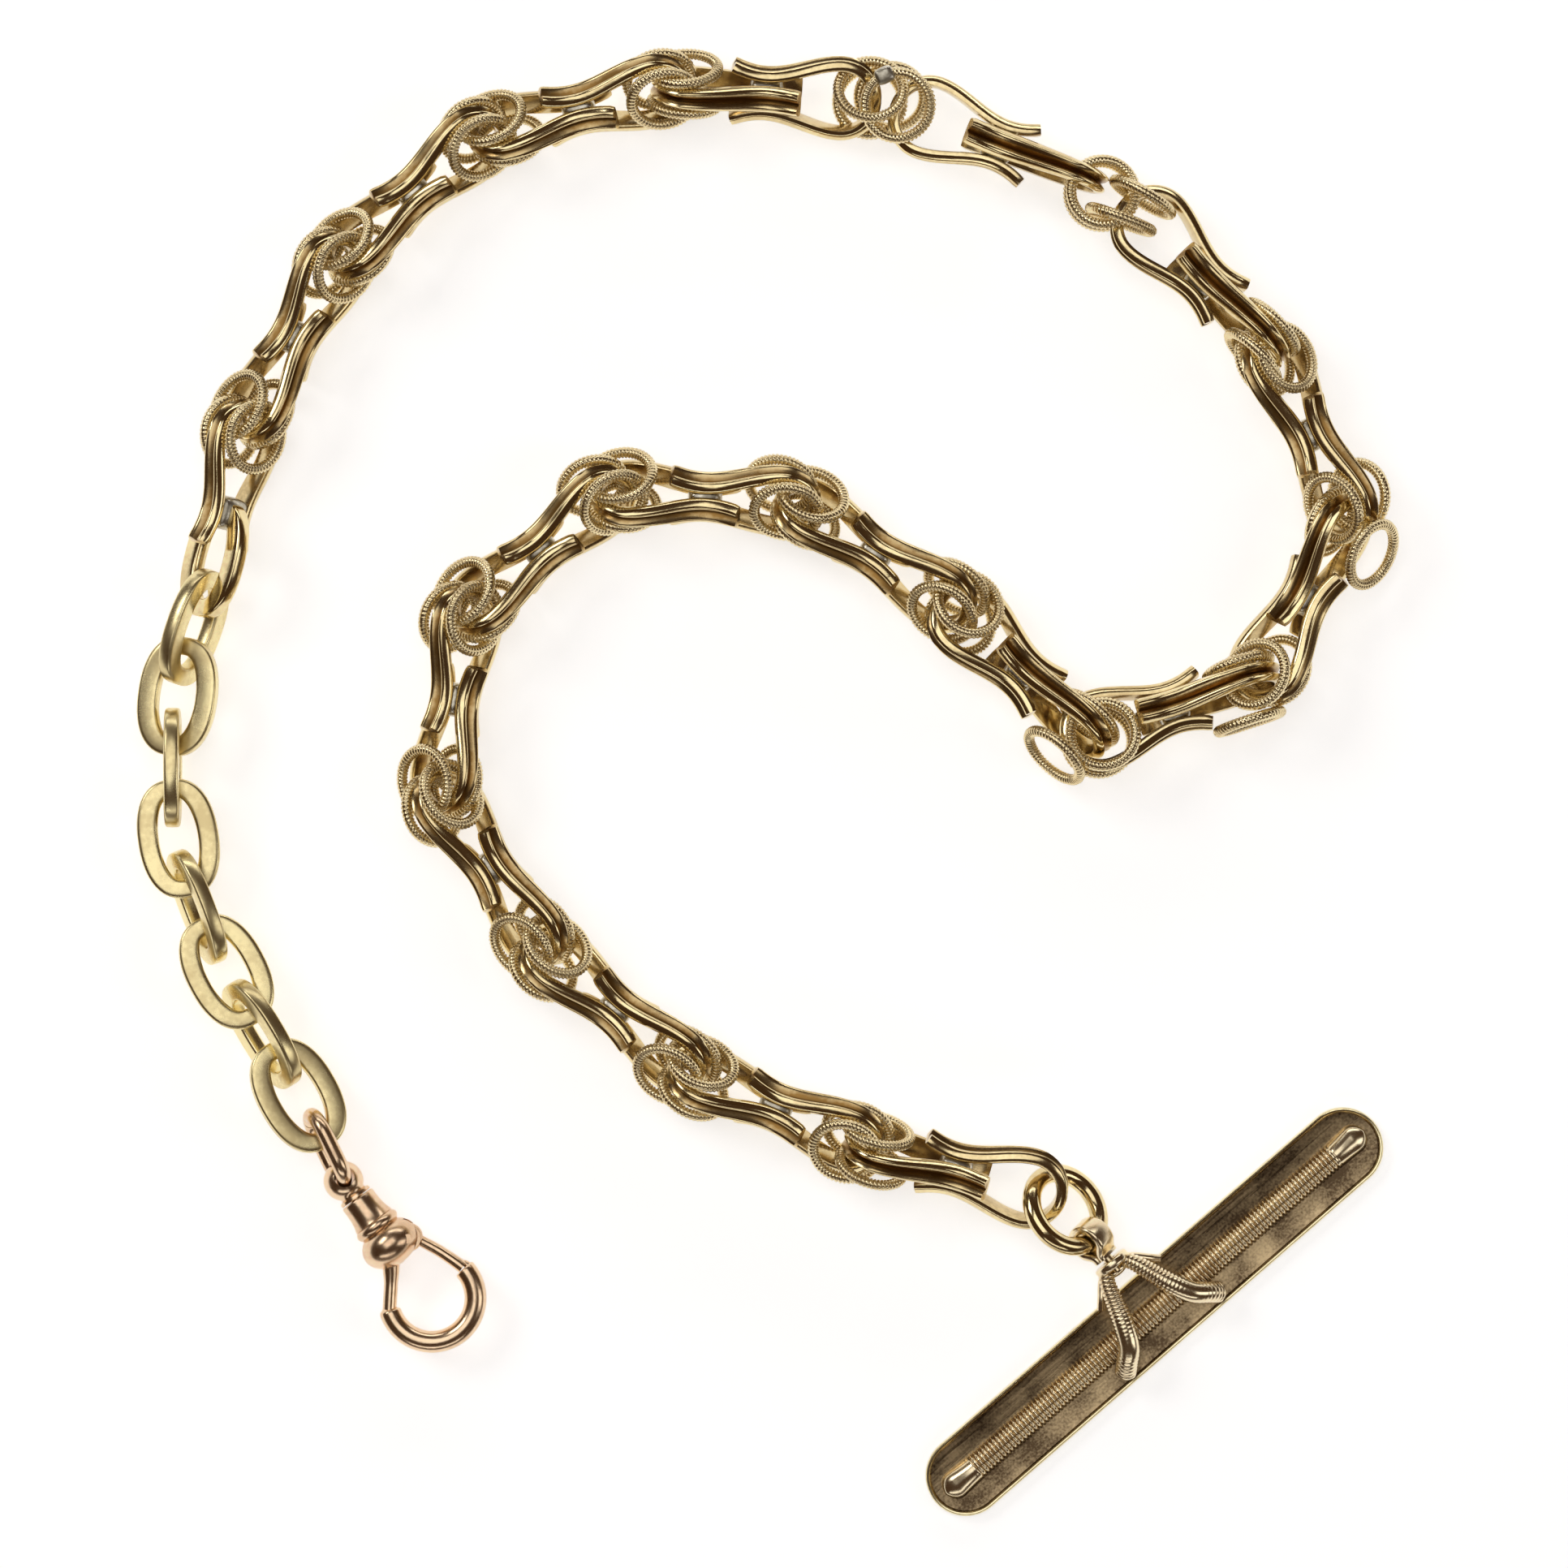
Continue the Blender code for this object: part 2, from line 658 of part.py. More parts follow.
def yoke_mesh(tools):
    """The drilled disc and the two arms that arch over the bar, in the bar's frame."""
    face = DISC_STANDOFF - DISC_THICKNESS / 2
    top = DISC_HEIGHT
    disc = rod("disc", DISC_DIAMETER / 2, (0, face, top), (0, face + DISC_THICKNESS, top), tools, sides=20)
    drill_radius = POST_PIN / 2 + LAND_GAP
    drill = rod("disc_drill", drill_radius, (0, face - 1 * MM, top), (0, face + 2 * MM, top), tools)
    thin, thick = ARM_WIRE_AT_DISC / 2, ARM_WIRE / 2
    ridge_top = BAR_THICKNESS + LAND_GAP + RIDGE_RADIUS
    over = ridge_top + LAND_GAP + thick
    lands = BAR_THICKNESS + LAND_GAP + thick
    arms = []
    for side in (1, -1):
        line = [
            (side * (drill_radius + thin + 0.1 * MM), DISC_STANDOFF, top),
            (side * 1.9 * MM, DISC_STANDOFF - 0.75 * MM, top),
            (side * 2.05 * MM, 0.6 * DISC_STANDOFF, top),
            (side * 2.35 * MM, 0.2 * DISC_STANDOFF, over + 0.1 * MM),
            (side * 3.1 * MM, -0.1 * DISC_STANDOFF, over),
            (side * 4.0 * MM, -0.6 * ARM_REACH, (over + lands) / 2),
            (side * 4.6 * MM, -0.85 * ARM_REACH, lands + 0.1 * MM),
            (side * ARM_SPREAD, -ARM_REACH, lands),
        ]
        radii = [thin, thin, thin, (thin + thick) / 2, thick, thick, thick, thick]
        arms.append(wire("arm", line, radii, False, tools, sides=10))
    join(disc, arms)
    join(disc, (drill,), "DIFFERENCE")
    return finished(disc, "yoke", drill, *arms)


def bar_plate_mesh(tools):
    plate = flat_plate("plate_outline", (stadium(BAR_LENGTH, BAR_WIDTH, 12),), BAR_THICKNESS, tools)
    return finished(plate, "bar_plate")


def ridge_mesh(tools):
    """A half-round moulding lying along the bar."""
    length = BAR_LENGTH - 2 * RIDGE_END_MARGIN
    ridge = rod("ridge_rod", RIDGE_RADIUS, (-length / 2, 0, 0), (length / 2, 0, 0), tools)
    lower = box("ridge_cut", (BAR_LENGTH, BAR_WIDTH, BAR_WIDTH), (0, 0, -BAR_WIDTH / 2), tools)
    join(ridge, (lower,), "DIFFERENCE")
    return finished(ridge, "bar_ridge", lower)


def main():
    clear_scene()
    chain = new_collection("pocket_watch_chain")
    tools = new_collection("cutters")
    tools.hide_render = True
    gold = material("pale_gold", (0.78, 0.62, 0.33), 0.25)
    rose = material("rose_gold", (0.8, 0.52, 0.36), 0.2)
    dull = material("bar_patina", (0.42, 0.32, 0.2), 0.45)

    frames = chain_frames()
    link = stirrup_link_mesh(tools)
    put("stirrup_link_00", end_link_mesh(tools), frames[0], chain, gold)
    for i, frame in enumerate(frames[1:], 1):
        put(f"stirrup_link_{i:02d}", link, frame, chain, gold)

    ring = ring_mesh("beaded_ring", RING_OUTER, RING_WIRE, 14, 6)
    for i in range(len(frames) - 1):
        put(f"beaded_ring_{i + 1:02d}", ring, ring_frame(frames, i), chain, gold)

    cables = cable_frames(frames[0])
    flat = finished(flat_link("loose_flat_link", tools), "flat_link")
    for i, frame in enumerate(cables, 2):
        put(f"flat_link_{i}", flat, frame, chain, gold)

    shackle = shackle_frame(cables[-1])
    swivel = swivel_frame(shackle)
    put("shackle", shackle_mesh(tools), shackle, chain, rose)
    put("swivel_eye", swivel_eye_mesh(tools), swivel, chain, rose)
    put("swivel_body", swivel_body_mesh(tools), swivel, chain, rose)
    along, left = GATE_PIN_OFFSET
    pivot = swivel @ Matrix.Translation((BALL_AT + along, left, 0))
    put("gate", gate_mesh(tools), pivot, chain, rose)

    jump_ring = jump_ring_frame(frames[-1])
    post = post_frame(jump_ring)
    bar = bar_frame(post)
    loop = ring_mesh("jump_ring", JUMP_RING_OUTER, JUMP_RING_WIRE, 24, 10)
    put("jump_ring", loop, jump_ring, chain, gold)
    put("post", post_mesh(tools), post, chain, gold)
    put("bar_yoke", yoke_mesh(tools), bar, chain, gold)
    half = Matrix.Translation((0, 0, BAR_THICKNESS / 2))
    put("bar_plate", bar_plate_mesh(tools), bar @ half, chain, dull)
    seat = Matrix.Translation((0, 0, BAR_THICKNESS + LAND_GAP))
    put("bar_ridge", ridge_mesh(tools), bar @ seat, chain, dull)


main()
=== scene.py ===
# %% [markdown]
# # A pocket watch chain, piece by piece
# The chain is gold: nineteen soldered links tied by beaded rings, a short run of flat links, a
# swivel clasp, and a T-bar that goes through a waistcoat buttonhole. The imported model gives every
# body its place. This lesson models the look of each piece over it, in metres, with +Z up.

# %% Load the frame
import math
import random

import bmesh
import bpy
from mathutils import Matrix, Vector
from mathutils.bvhtree import BVHTree


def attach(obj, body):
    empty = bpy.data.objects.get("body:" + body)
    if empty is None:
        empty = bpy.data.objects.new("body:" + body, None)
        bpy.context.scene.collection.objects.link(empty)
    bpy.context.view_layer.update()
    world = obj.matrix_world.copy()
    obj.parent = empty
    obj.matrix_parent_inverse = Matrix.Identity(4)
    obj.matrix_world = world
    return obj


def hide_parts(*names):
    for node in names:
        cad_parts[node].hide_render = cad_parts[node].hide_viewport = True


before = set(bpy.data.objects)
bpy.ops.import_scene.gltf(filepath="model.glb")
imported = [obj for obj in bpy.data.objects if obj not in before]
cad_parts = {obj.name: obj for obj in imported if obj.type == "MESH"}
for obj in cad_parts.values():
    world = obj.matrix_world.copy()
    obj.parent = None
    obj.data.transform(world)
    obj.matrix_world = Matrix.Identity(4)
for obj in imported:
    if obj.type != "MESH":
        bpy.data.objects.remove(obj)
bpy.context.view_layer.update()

MM = 0.001

# %% [markdown]
# ## Where the chain lies
# A chain is laid out like a pen line: each link has a heading and a roll about it, and steps on
# from the one before by its own reach less the bite that two hooked bows share. The same few
# numbers place the solid model, so every piece here lands on its own solid.

# %% The chain's layout
BOW_REACH = 8.15 * MM
AXIS_HEIGHT = 3.3 * MM
FIRST_WAIST = (-40.1 * MM, 20.29 * MM)

# each link: heading and roll in degrees, and the bite into the next one in mm
LINKS = (
    (76, 45, 1.1),
    (61, 45, 1.1),
    (40, 45, 1.1),
    (14, 45, 1.1),
    (-4, 25, -0.8),
    (-21, 90, -1.2),
    (-46, 80, 1.1),
    (-65, 50, 1.35),
    (-119, 36, 1.3),
    (-162, 14, 1.5),
    (136, 22, 1.1),
    (146, 45, 1.25),
    (177, 45, 1.3),
    (-141, 45, 1.3),
    (-99, 45, 1.3),
    (-57, 45, 1.1),
    (-40, 45, 1.1),
    (-23, 40, 1.1),
    (-15, 22, 0.0),
)

# the modelled ring of each joint: does it go round the next link's bow, its twist in degrees, and
# how far it slid along and stands off the strip, in mm
RINGS = (
    (True, 0, 0, 1.65),
    (True, 0, 0.3, 1.65),
    (True, 0, 0, 1.8),
    (True, 0, 0.3, 1.65),
    (True, -20, 0, 1.8),
    (True, 0, 0, 1.435),
    (True, 0, 0.6, 1.65),
    (False, 0, 0.9, 1.55),
    (True, 0, 0.9, 1.8),
    (False, 0, 0, 1.55),
    (False, 0, -0.6, 1.435),
    (False, 0, -0.3, 1.95),
    (False, 0, -0.6, 1.95),
    (False, 0, -0.3, 1.95),
    (False, 0, -0.3, 1.95),
    (False, 0, -0.3, 1.65),
    (False, 0, -0.3, 1.65),
    (False, 0, -0.3, 1.55),
)

# each flat link: heading and roll in degrees, and the height of its middle in mm
CABLES = (
    (-109, -60, 3.25),
    (-98, 12, 3.2),
    (-90, 88, 3.2),
    (-81, -2, 3.1),
    (-69, 68, 3.05),
    (-62, -8, 3.0),
    (-59, 60, 2.98),
    (-60, -14, 2.9),
)

SHACKLE_POSE = (-64, 75, 2.7)
SWIVEL_HEADING = -53
SWIVEL_HEIGHT = 2.45
POST_HEADING = -49


def place(heading, roll, centre):
    """A piece's place: X along its heading, rolled about X, degrees."""
    turn = Matrix.Rotation(math.radians(heading), 4, "Z") @ Matrix.Rotation(math.radians(roll), 4, "X")
    return Matrix.Translation(centre) @ turn


def pointing(heading):
    return Vector((math.cos(math.radians(heading)), math.sin(math.radians(heading)), 0))


def axis_of(matrix, index):
    return matrix.col[index].to_3d().normalized()


def lay_links():
    """The place of every link's waist, each stepping on from the bow before."""
    places = []
    centre = Vector((*FIRST_WAIST, AXIS_HEIGHT))
    for i, (heading, roll, _) in enumerate(LINKS):
        if i:
            centre = centre + pointing(heading) * (BOW_REACH - LINKS[i - 1][2] * MM)
        places.append(place(heading, roll, centre))
        centre = centre + pointing(heading) * (BOW_REACH - LINKS[i][2] * MM)
    return places


links = lay_links()
ends = [tuple(round(v / MM, 1) for v in links[i].translation) for i in (0, -1)]
print("first and last waist, mm:", ends)

# %% [markdown]
# ## A sweep that can change its section
# A curve object with a bevel keeps one section along its length. These strips narrow towards the
# bow, the wires swell and step, and the coils are real ridges, so a small helper is worth writing:
# it starts from one ring of edges and extrudes it station by station, giving each station its own
# outline. The extrude operator makes all the faces, and only the first ring is placed by hand.

# %% Sweep, path and turning helpers
def sweep(places, outline, closed=False):
    """Extrudes outline(i) through places[i], whose Z runs along the path.

    A point is (x, y), or (x, y, depth), where depth is the painted shade that a groove takes."""
    bm = bmesh.new()
    shade_layer = bm.verts.layers.float.new("painted_groove_shade")
    ring = [bm.verts.new(places[0] @ Vector((*point[:2], 0))) for point in outline(0)]
    for vert, point in zip(ring, outline(0)):
        vert[shade_layer] = point[2] if len(point) > 2 else 0
    edges = [bm.edges.new(pair) for pair in zip(ring, ring[1:] + ring[:1])]
    start = list(edges)
    for i, at in enumerate(places[1:], 1):
        made = bmesh.ops.extrude_edge_only(bm, edges=edges)["geom"]
        fresh = {v for v in made if isinstance(v, bmesh.types.BMVert)}
        ring = [next(e.other_vert(v) for e in v.link_edges if e.other_vert(v) in fresh) for v in ring]
        for vert, point in zip(ring, outline(i)):
            vert.co = at @ Vector((*point[:2], 0))
            vert[shade_layer] = point[2] if len(point) > 2 else 0
        edges = [e for e in made if isinstance(e, bmesh.types.BMEdge) and fresh.issuperset(e.verts)]
    if closed:
        bmesh.ops.bridge_loops(bm, edges=start + edges)
    else:
        bmesh.ops.edgeloop_fill(bm, edges=start)
        bmesh.ops.edgeloop_fill(bm, edges=edges)
    bmesh.ops.recalc_face_normals(bm, faces=bm.faces)
    return bm


def stations(points, up, closed=False):
    """A frame at each point: Z along the path, Y as near to up as it can be."""
    places = []
    count = len(points)
    for i, point in enumerate(points):
        before = points[(i - 1) % count] if closed or i else point
        after = points[(i + 1) % count] if closed or i < count - 1 else point
        along = (after - before).normalized()
        side = Vector(up).cross(along).normalized()
        turn = Matrix((side, along.cross(side), along)).transposed().to_4x4()
        places.append(Matrix.Translation(point) @ turn)
    return places


def smooth_path(points, steps):
    """A curve that passes through every point, with this many steps between two of them."""
    points = [Vector(p) for p in points]
    points = [points[0] * 2 - points[1], *points, points[-1] * 2 - points[-2]]
    made = []
    for a, b, c, d in zip(points, points[1:], points[2:], points[3:]):
        for i in range(steps):
            t = i / steps
            bend = a * (-t + 2 * t**2 - t**3) + b * (2 - 5 * t**2 + 3 * t**3)
            made.append((bend + c * (t + 4 * t**2 - 3 * t**3) + d * (t**3 - t**2)) / 2)
    return made + [points[-2]]


def circle(radius, count=20):
    turns = [2 * math.pi * i / count for i in range(count)]
    return [(radius * math.cos(t), radius * math.sin(t)) for t in turns]


def turned(profile, steps=64):
    """Turns (x, radius) points round the X axis."""
    bm = bmesh.new()
    verts = [bm.verts.new((x, radius, 0)) for x, radius in profile]
    edges = [bm.edges.new(pair) for pair in zip(verts, verts[1:])]
    spun = {"axis": (1, 0, 0), "cent": (0, 0, 0), "angle": 2 * math.pi, "steps": steps, "use_merge": True}
    bmesh.ops.spin(bm, geom=verts + edges, **spun)
    bmesh.ops.remove_doubles(bm, verts=bm.verts, dist=0.0005 * MM)
    bmesh.ops.recalc_face_normals(bm, faces=bm.faces)
    return bm


def ease(share):
    share = min(max(share, 0), 1)
    return share * share * (3 - 2 * share)


def mix(a, b, share):
    return a + (b - a) * share


print("helpers ready")

# %% [markdown]
# ## Finishes
# Gold shows its age in three ways: it is brighter where it rubs, darker and duller in soft patches
# of tarnish, and finely scratched all over. One group gives the soft patches of tarnish, another the
# scratches as a normal, and each metal mixes them in its own measure. Grooves are painted darker
# still, as shade, and made duller. The colour could be one flat value, but then a link would look
# like plastic, because nothing would break its highlights.

# %% Shared node groups
def new_group(name, inputs, outputs):
    """An empty shader group with these named sockets."""
    group = bpy.data.node_groups.new(name, "ShaderNodeTree")
    for label, value in inputs:
        socket = group.interface.new_socket(label, in_out="INPUT", socket_type="NodeSocketFloat")
        socket.default_value = value
    for label, kind in outputs:
        group.interface.new_socket(label, in_out="OUTPUT", socket_type=kind)
    return group, group.nodes.new("NodeGroupInput"), group.nodes.new("NodeGroupOutput")


def tarnish_group():
    """A mask from 0 to 1 in soft patches, with finer spots in it."""
    inputs = (("Scale", 260.0), ("Amount", 0.5))
    group, given, out = new_group("tarnish_patches", inputs, (("Mask", "NodeSocketFloat"),))
    nodes, link = group.nodes, group.links.new
    where = nodes.new("ShaderNodeTexCoord")
    broad = nodes.new("ShaderNodeTexNoise")
    fine = nodes.new("ShaderNodeTexNoise")
    fine.inputs["Scale"].default_value = 2600
    fine.inputs["Detail"].default_value = 4
    broad.inputs["Detail"].default_value = 5
    both = nodes.new("ShaderNodeMath")
    both.operation = "MULTIPLY_ADD"
    both.inputs[1].default_value = 0.45
    spread = nodes.new("ShaderNodeMapRange")
    spread.interpolation_type = "SMOOTHSTEP"
    spread.inputs["From Min"].default_value = 0.55
    spread.inputs["From Max"].default_value = 0.92
    strength = nodes.new("ShaderNodeMath")
    strength.operation = "MULTIPLY"
    link(where.outputs["Object"], broad.inputs["Vector"])
    link(where.outputs["Object"], fine.inputs["Vector"])
    link(given.outputs["Scale"], broad.inputs["Scale"])
    link(fine.outputs["Fac"], both.inputs[0])
    link(broad.outputs["Fac"], both.inputs[2])
    link(both.outputs[0], spread.inputs["Value"])
    link(spread.outputs["Result"], strength.inputs[0])
    link(given.outputs["Amount"], strength.inputs[1])
    link(strength.outputs[0], out.inputs["Mask"])
    return group


def wear_group():
    """Shallow dents and hair scratches as one normal."""
    inputs = (("Strength", 0.25),)
    group, given, out = new_group("fine_wear", inputs, (("Normal", "NodeSocketVector"),))
    nodes, link = group.nodes, group.links.new
    where = nodes.new("ShaderNodeTexCoord")
    dents = nodes.new("ShaderNodeTexNoise")
    dents.inputs["Scale"].default_value = 900
    dents.inputs["Detail"].default_value = 2
    lay = nodes.new("ShaderNodeMapping")
    lay.inputs["Rotation"].default_value = (0.3, 0.2, 0.9)
    lay.inputs["Scale"].default_value = (1, 9, 9)
    hairs = nodes.new("ShaderNodeTexNoise")
    hairs.inputs["Scale"].default_value = 1500
    hairs.inputs["Detail"].default_value = 3
    relief = nodes.new("ShaderNodeMath")
    relief.operation = "MULTIPLY_ADD"
    relief.inputs[1].default_value = 0.25
    bump = nodes.new("ShaderNodeBump")
    bump.inputs["Distance"].default_value = 0.06 * MM
    link(where.outputs["Object"], dents.inputs["Vector"])
    link(where.outputs["Object"], lay.inputs["Vector"])
    link(lay.outputs["Vector"], hairs.inputs["Vector"])
    link(hairs.outputs["Fac"], relief.inputs[0])
    link(dents.outputs["Fac"], relief.inputs[2])
    link(relief.outputs[0], bump.inputs["Height"])
    link(given.outputs["Strength"], bump.inputs["Strength"])
    link(bump.outputs["Normal"], out.inputs["Normal"])
    return group


tarnish = tarnish_group()
wear = wear_group()
print("groups:", tarnish.name, wear.name)

# %% [markdown]
# The pieces were not made together, and their alloys differ. The links are pale gold, rubbed
# bright; the flat links were dulled by their neighbours; the clasp has more copper in it and is
# rose. One function makes them all, so that they age alike, and only colours and measures differ.
# Each surface also carries a value where its grooves are, and there the metal is painted darker, as
# shade, and made duller.

# %% The metals
def metal(name, bright, tarnish_and_shade, gloss, dull, patches, amount, scratches):
    """A worn metal: bright and glossy, darker and duller in tarnish patches, and in its grooves, where the
    dark is painted shade.
    """
    made = bpy.data.materials.new(name)
    made.use_nodes = True
    nodes, link = made.node_tree.nodes, made.node_tree.links.new
    shader = nodes["Principled BSDF"]
    shader.inputs["Metallic"].default_value = 1
    mask = nodes.new("ShaderNodeGroup")
    mask.node_tree = tarnish
    mask.inputs["Scale"].default_value = patches
    mask.inputs["Amount"].default_value = amount
    # painted shade: the grooves' value is added to the tarnish mask, so grooves turn darker and duller
    painted_groove_shade = nodes.new("ShaderNodeAttribute")
    painted_groove_shade.attribute_name = "painted_groove_shade"
    both = nodes.new("ShaderNodeMath")
    both.use_clamp = True
    link(painted_groove_shade.outputs["Fac"], both.inputs[0])
    link(mask.outputs["Mask"], both.inputs[1])
    colour = nodes.new("ShaderNodeMix")
    colour.data_type = "RGBA"
    colour.inputs["A"].default_value = (*bright, 1)
    # the second colour serves both the tarnish patches and the painted shade in grooves
    colour.inputs["B"].default_value = (*tarnish_and_shade, 1)
    rough = nodes.new("ShaderNodeMapRange")
    rough.inputs["To Min"].default_value = gloss
    rough.inputs["To Max"].default_value = dull
    surface = nodes.new("ShaderNodeGroup")
    surface.node_tree = wear
    surface.inputs["Strength"].default_value = scratches
    link(both.outputs[0], colour.inputs["Factor"])
    link(both.outputs[0], rough.inputs["Value"])
    link(colour.outputs["Result"], shader.inputs["Base Color"])
    link(rough.outputs["Result"], shader.inputs["Roughness"])
    link(surface.outputs["Normal"], shader.inputs["Normal"])
    return made


pale_gold = metal("pale_gold", (0.88, 0.73, 0.41), (0.3, 0.17, 0.05), 0.12, 0.3, 240, 0.35, 0.14)
flat_gold = metal("flat_gold", (0.9, 0.77, 0.42), (0.34, 0.2, 0.06), 0.26, 0.4, 240, 0.35, 0.14)
ring_gold = metal("ring_gold", (0.97, 0.82, 0.5), (0.44, 0.28, 0.1), 0.2, 0.36, 300, 0.25, 0.1)
rose_gold = metal("rose_gold", (0.87, 0.65, 0.43), (0.46, 0.23, 0.11), 0.22, 0.36, 220, 0.4, 0.12)
rim_gold = metal("rim_gold", (0.9, 0.8, 0.5), (0.45, 0.33, 0.14), 0.18, 0.36, 260, 0.4, 0.15)
coil_gold = metal("coil_gold", (0.97, 0.83, 0.56), (0.42, 0.26, 0.12), 0.2, 0.36, 300, 0.3, 0.12)
solder = metal("grey_solder", (0.7, 0.66, 0.55), (0.32, 0.28, 0.2), 0.24, 0.45, 500, 0.8, 0.6)
metals = (pale_gold, flat_gold, ring_gold, rose_gold, rim_gold, coil_gold, solder)
print("metals:", [made.name for made in metals])

# %% [markdown]
# The bar has gone brown where nothing rubs it. Its plate was brushed along its length once, and
# that grain still shows, so its texture is stretched along the bar with a Mapping node that turns
# it to the bar's heading. Its moulded edges still shine, so they take a cleaner metal.

# %% The bar's patina
def brushed_patina():
    """Brown metal with a lengthwise grain, clouds and fine specks."""
    made = bpy.data.materials.new("bar_patina")
    made.use_nodes = True
    nodes, link = made.node_tree.nodes, made.node_tree.links.new
    shader = nodes["Principled BSDF"]
    shader.inputs["Metallic"].default_value = 1
    where = nodes.new("ShaderNodeTexCoord")
    lay = nodes.new("ShaderNodeMapping")
    lay.inputs["Rotation"].default_value = (0, 0, -math.radians(POST_HEADING + 90))
    stretch = nodes.new("ShaderNodeMapping")
    stretch.inputs["Scale"].default_value = (0.05, 1, 1)
    grain = nodes.new("ShaderNodeTexNoise")
    grain.inputs["Scale"].default_value = 4200
    grain.inputs["Detail"].default_value = 4
    cloud = nodes.new("ShaderNodeTexNoise")
    cloud.inputs["Scale"].default_value = 330
    cloud.inputs["Detail"].default_value = 5
    tone = nodes.new("ShaderNodeValToRGB")
    tone.color_ramp.elements[0].position = 0.5
    tone.color_ramp.elements[0].color = (0.1, 0.065, 0.035, 1)
    tone.color_ramp.elements[1].position = 0.85
    tone.color_ramp.elements[1].color = (0.52, 0.39, 0.22, 1)
    rough = nodes.new("ShaderNodeMapRange")
    rough.inputs["To Min"].default_value = 0.16
    rough.inputs["To Max"].default_value = 0.5
    blend = nodes.new("ShaderNodeMath")
    blend.operation = "MULTIPLY_ADD"
    blend.inputs[1].default_value = 0.35
    speckle = nodes.new("ShaderNodeTexNoise")
    speckle.inputs["Scale"].default_value = 5200
    speckle.inputs["Detail"].default_value = 3
    dotted = nodes.new("ShaderNodeMath")
    dotted.operation = "MULTIPLY_ADD"
    dotted.inputs[1].default_value = 0.55
    centred = nodes.new("ShaderNodeMath")
    centred.operation = "SUBTRACT"
    centred.inputs[1].default_value = 0.5
    bump = nodes.new("ShaderNodeBump")
    bump.inputs["Strength"].default_value = 0.35
    bump.inputs["Distance"].default_value = 0.03 * MM
    link(where.outputs["Object"], lay.inputs["Vector"])
    link(lay.outputs["Vector"], stretch.inputs["Vector"])
    link(stretch.outputs["Vector"], grain.inputs["Vector"])
    link(where.outputs["Object"], cloud.inputs["Vector"])
    link(grain.outputs["Fac"], blend.inputs[0])
    link(cloud.outputs["Fac"], blend.inputs[2])
    link(where.outputs["Object"], speckle.inputs["Vector"])
    link(speckle.outputs["Fac"], centred.inputs[0])
    link(centred.outputs[0], dotted.inputs[0])
    link(blend.outputs[0], dotted.inputs[2])
    link(dotted.outputs[0], tone.inputs["Fac"])
    link(tone.outputs["Color"], shader.inputs["Base Color"])
    link(grain.outputs["Fac"], rough.inputs["Value"])
    link(rough.outputs["Result"], shader.inputs["Roughness"])
    link(grain.outputs["Fac"], bump.inputs["Height"])
    link(bump.outputs["Normal"], shader.inputs["Normal"])
    return made


bar_patina = brushed_patina()
print("patina:", bar_patina.name)

# %% [markdown]
# ## Putting a piece in the scene
# Every finished piece keeps its object at the origin, with its place in its mesh. It rides on a
# It rides on a body, stands for its solid, and takes its metals as its materials.

# %% Finish a piece
def finish(name, bm, at, metals, body, node=None, sharp=50):
    """Makes the piece's object, on its body and for its node; edges past sharp stay crisp."""
    mesh = bpy.data.meshes.new(name)
    bm.to_mesh(mesh)
    bm.free()
    mesh.transform(at)
    for metal_used in metals:
        mesh.materials.append(metal_used)
    mesh.shade_smooth()
    mesh.set_sharp_from_angle(angle=math.radians(sharp))
    piece = bpy.data.objects.new(name, mesh)
    bpy.context.scene.collection.objects.link(piece)
    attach(piece, body)
    if node:
        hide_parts(node)
    return piece


print("finish ready")

# %% [markdown]
# ## The stirrup links
# Each link is two bowed strips soldered back to back at the waist, one turned a quarter round from
# the other. The strip was drawn through a die: its outer face carries two rounded ridges with a
# groove between them, and it narrows towards the bow. Its ends are cut square and flared. So the
# section is drawn once, the path is one leg mirrored round the bow, and the sweep narrows it.

# %% The moulded strip
STRIP_THICKNESS = 0.88 * MM
STRIP_WIDTH = 2.05 * MM
STRIP_WIDTH_AT_BOW = 1.55 * MM
WAIST_SPREAD = STRIP_WIDTH / 2 + 0.03 * MM + STRIP_THICKNESS / 2
TIP_REACH, TIP_SPREAD = 2.5 * MM, 2.1 * MM
BELLY_REACH, BELLY_SPREAD = 5.6 * MM, 2.7 * MM
# where the section's points lie, as shares of half its width: close together at edges and groove
HALF_OUTER = (0.05, 0.12, 0.25, 0.4, 0.55, 0.68, 0.82, 0.95, 1)
OUTER = (*(-share for share in reversed(HALF_OUTER)), 0, *HALF_OUTER)
INNER = (0.93, 0.6, 0.2, -0.2, -0.6, -0.93)


def strip_section(width, scale=1.0):
    """The drawn strip: outward is +X, and the two ridges stand on that side of the groove."""
    half = STRIP_THICKNESS / 2
    points = []
    for share in OUTER:
        s = abs(share)
        groove = max(0, 1 - s / 0.55)
        rounding = ((s - 0.55) / 0.45) ** 2.2 if s > 0.55 else 0
        drop = 0.6 * groove**1.5 + 0.62 * rounding
        # the third value is painted shade, deepest in the groove between the two ridges
        points.append((half - drop * STRIP_THICKNESS, share * width / 2, groove**0.7))
    for share in INNER:
        # the inner face, turned into the link, takes an even painted shade of 0.25
        points.append((-half + 0.12 * STRIP_THICKNESS * share**4, share * width / 2, 0.25))
    return [(x * scale, y * scale, depth) for x, y, depth in points]


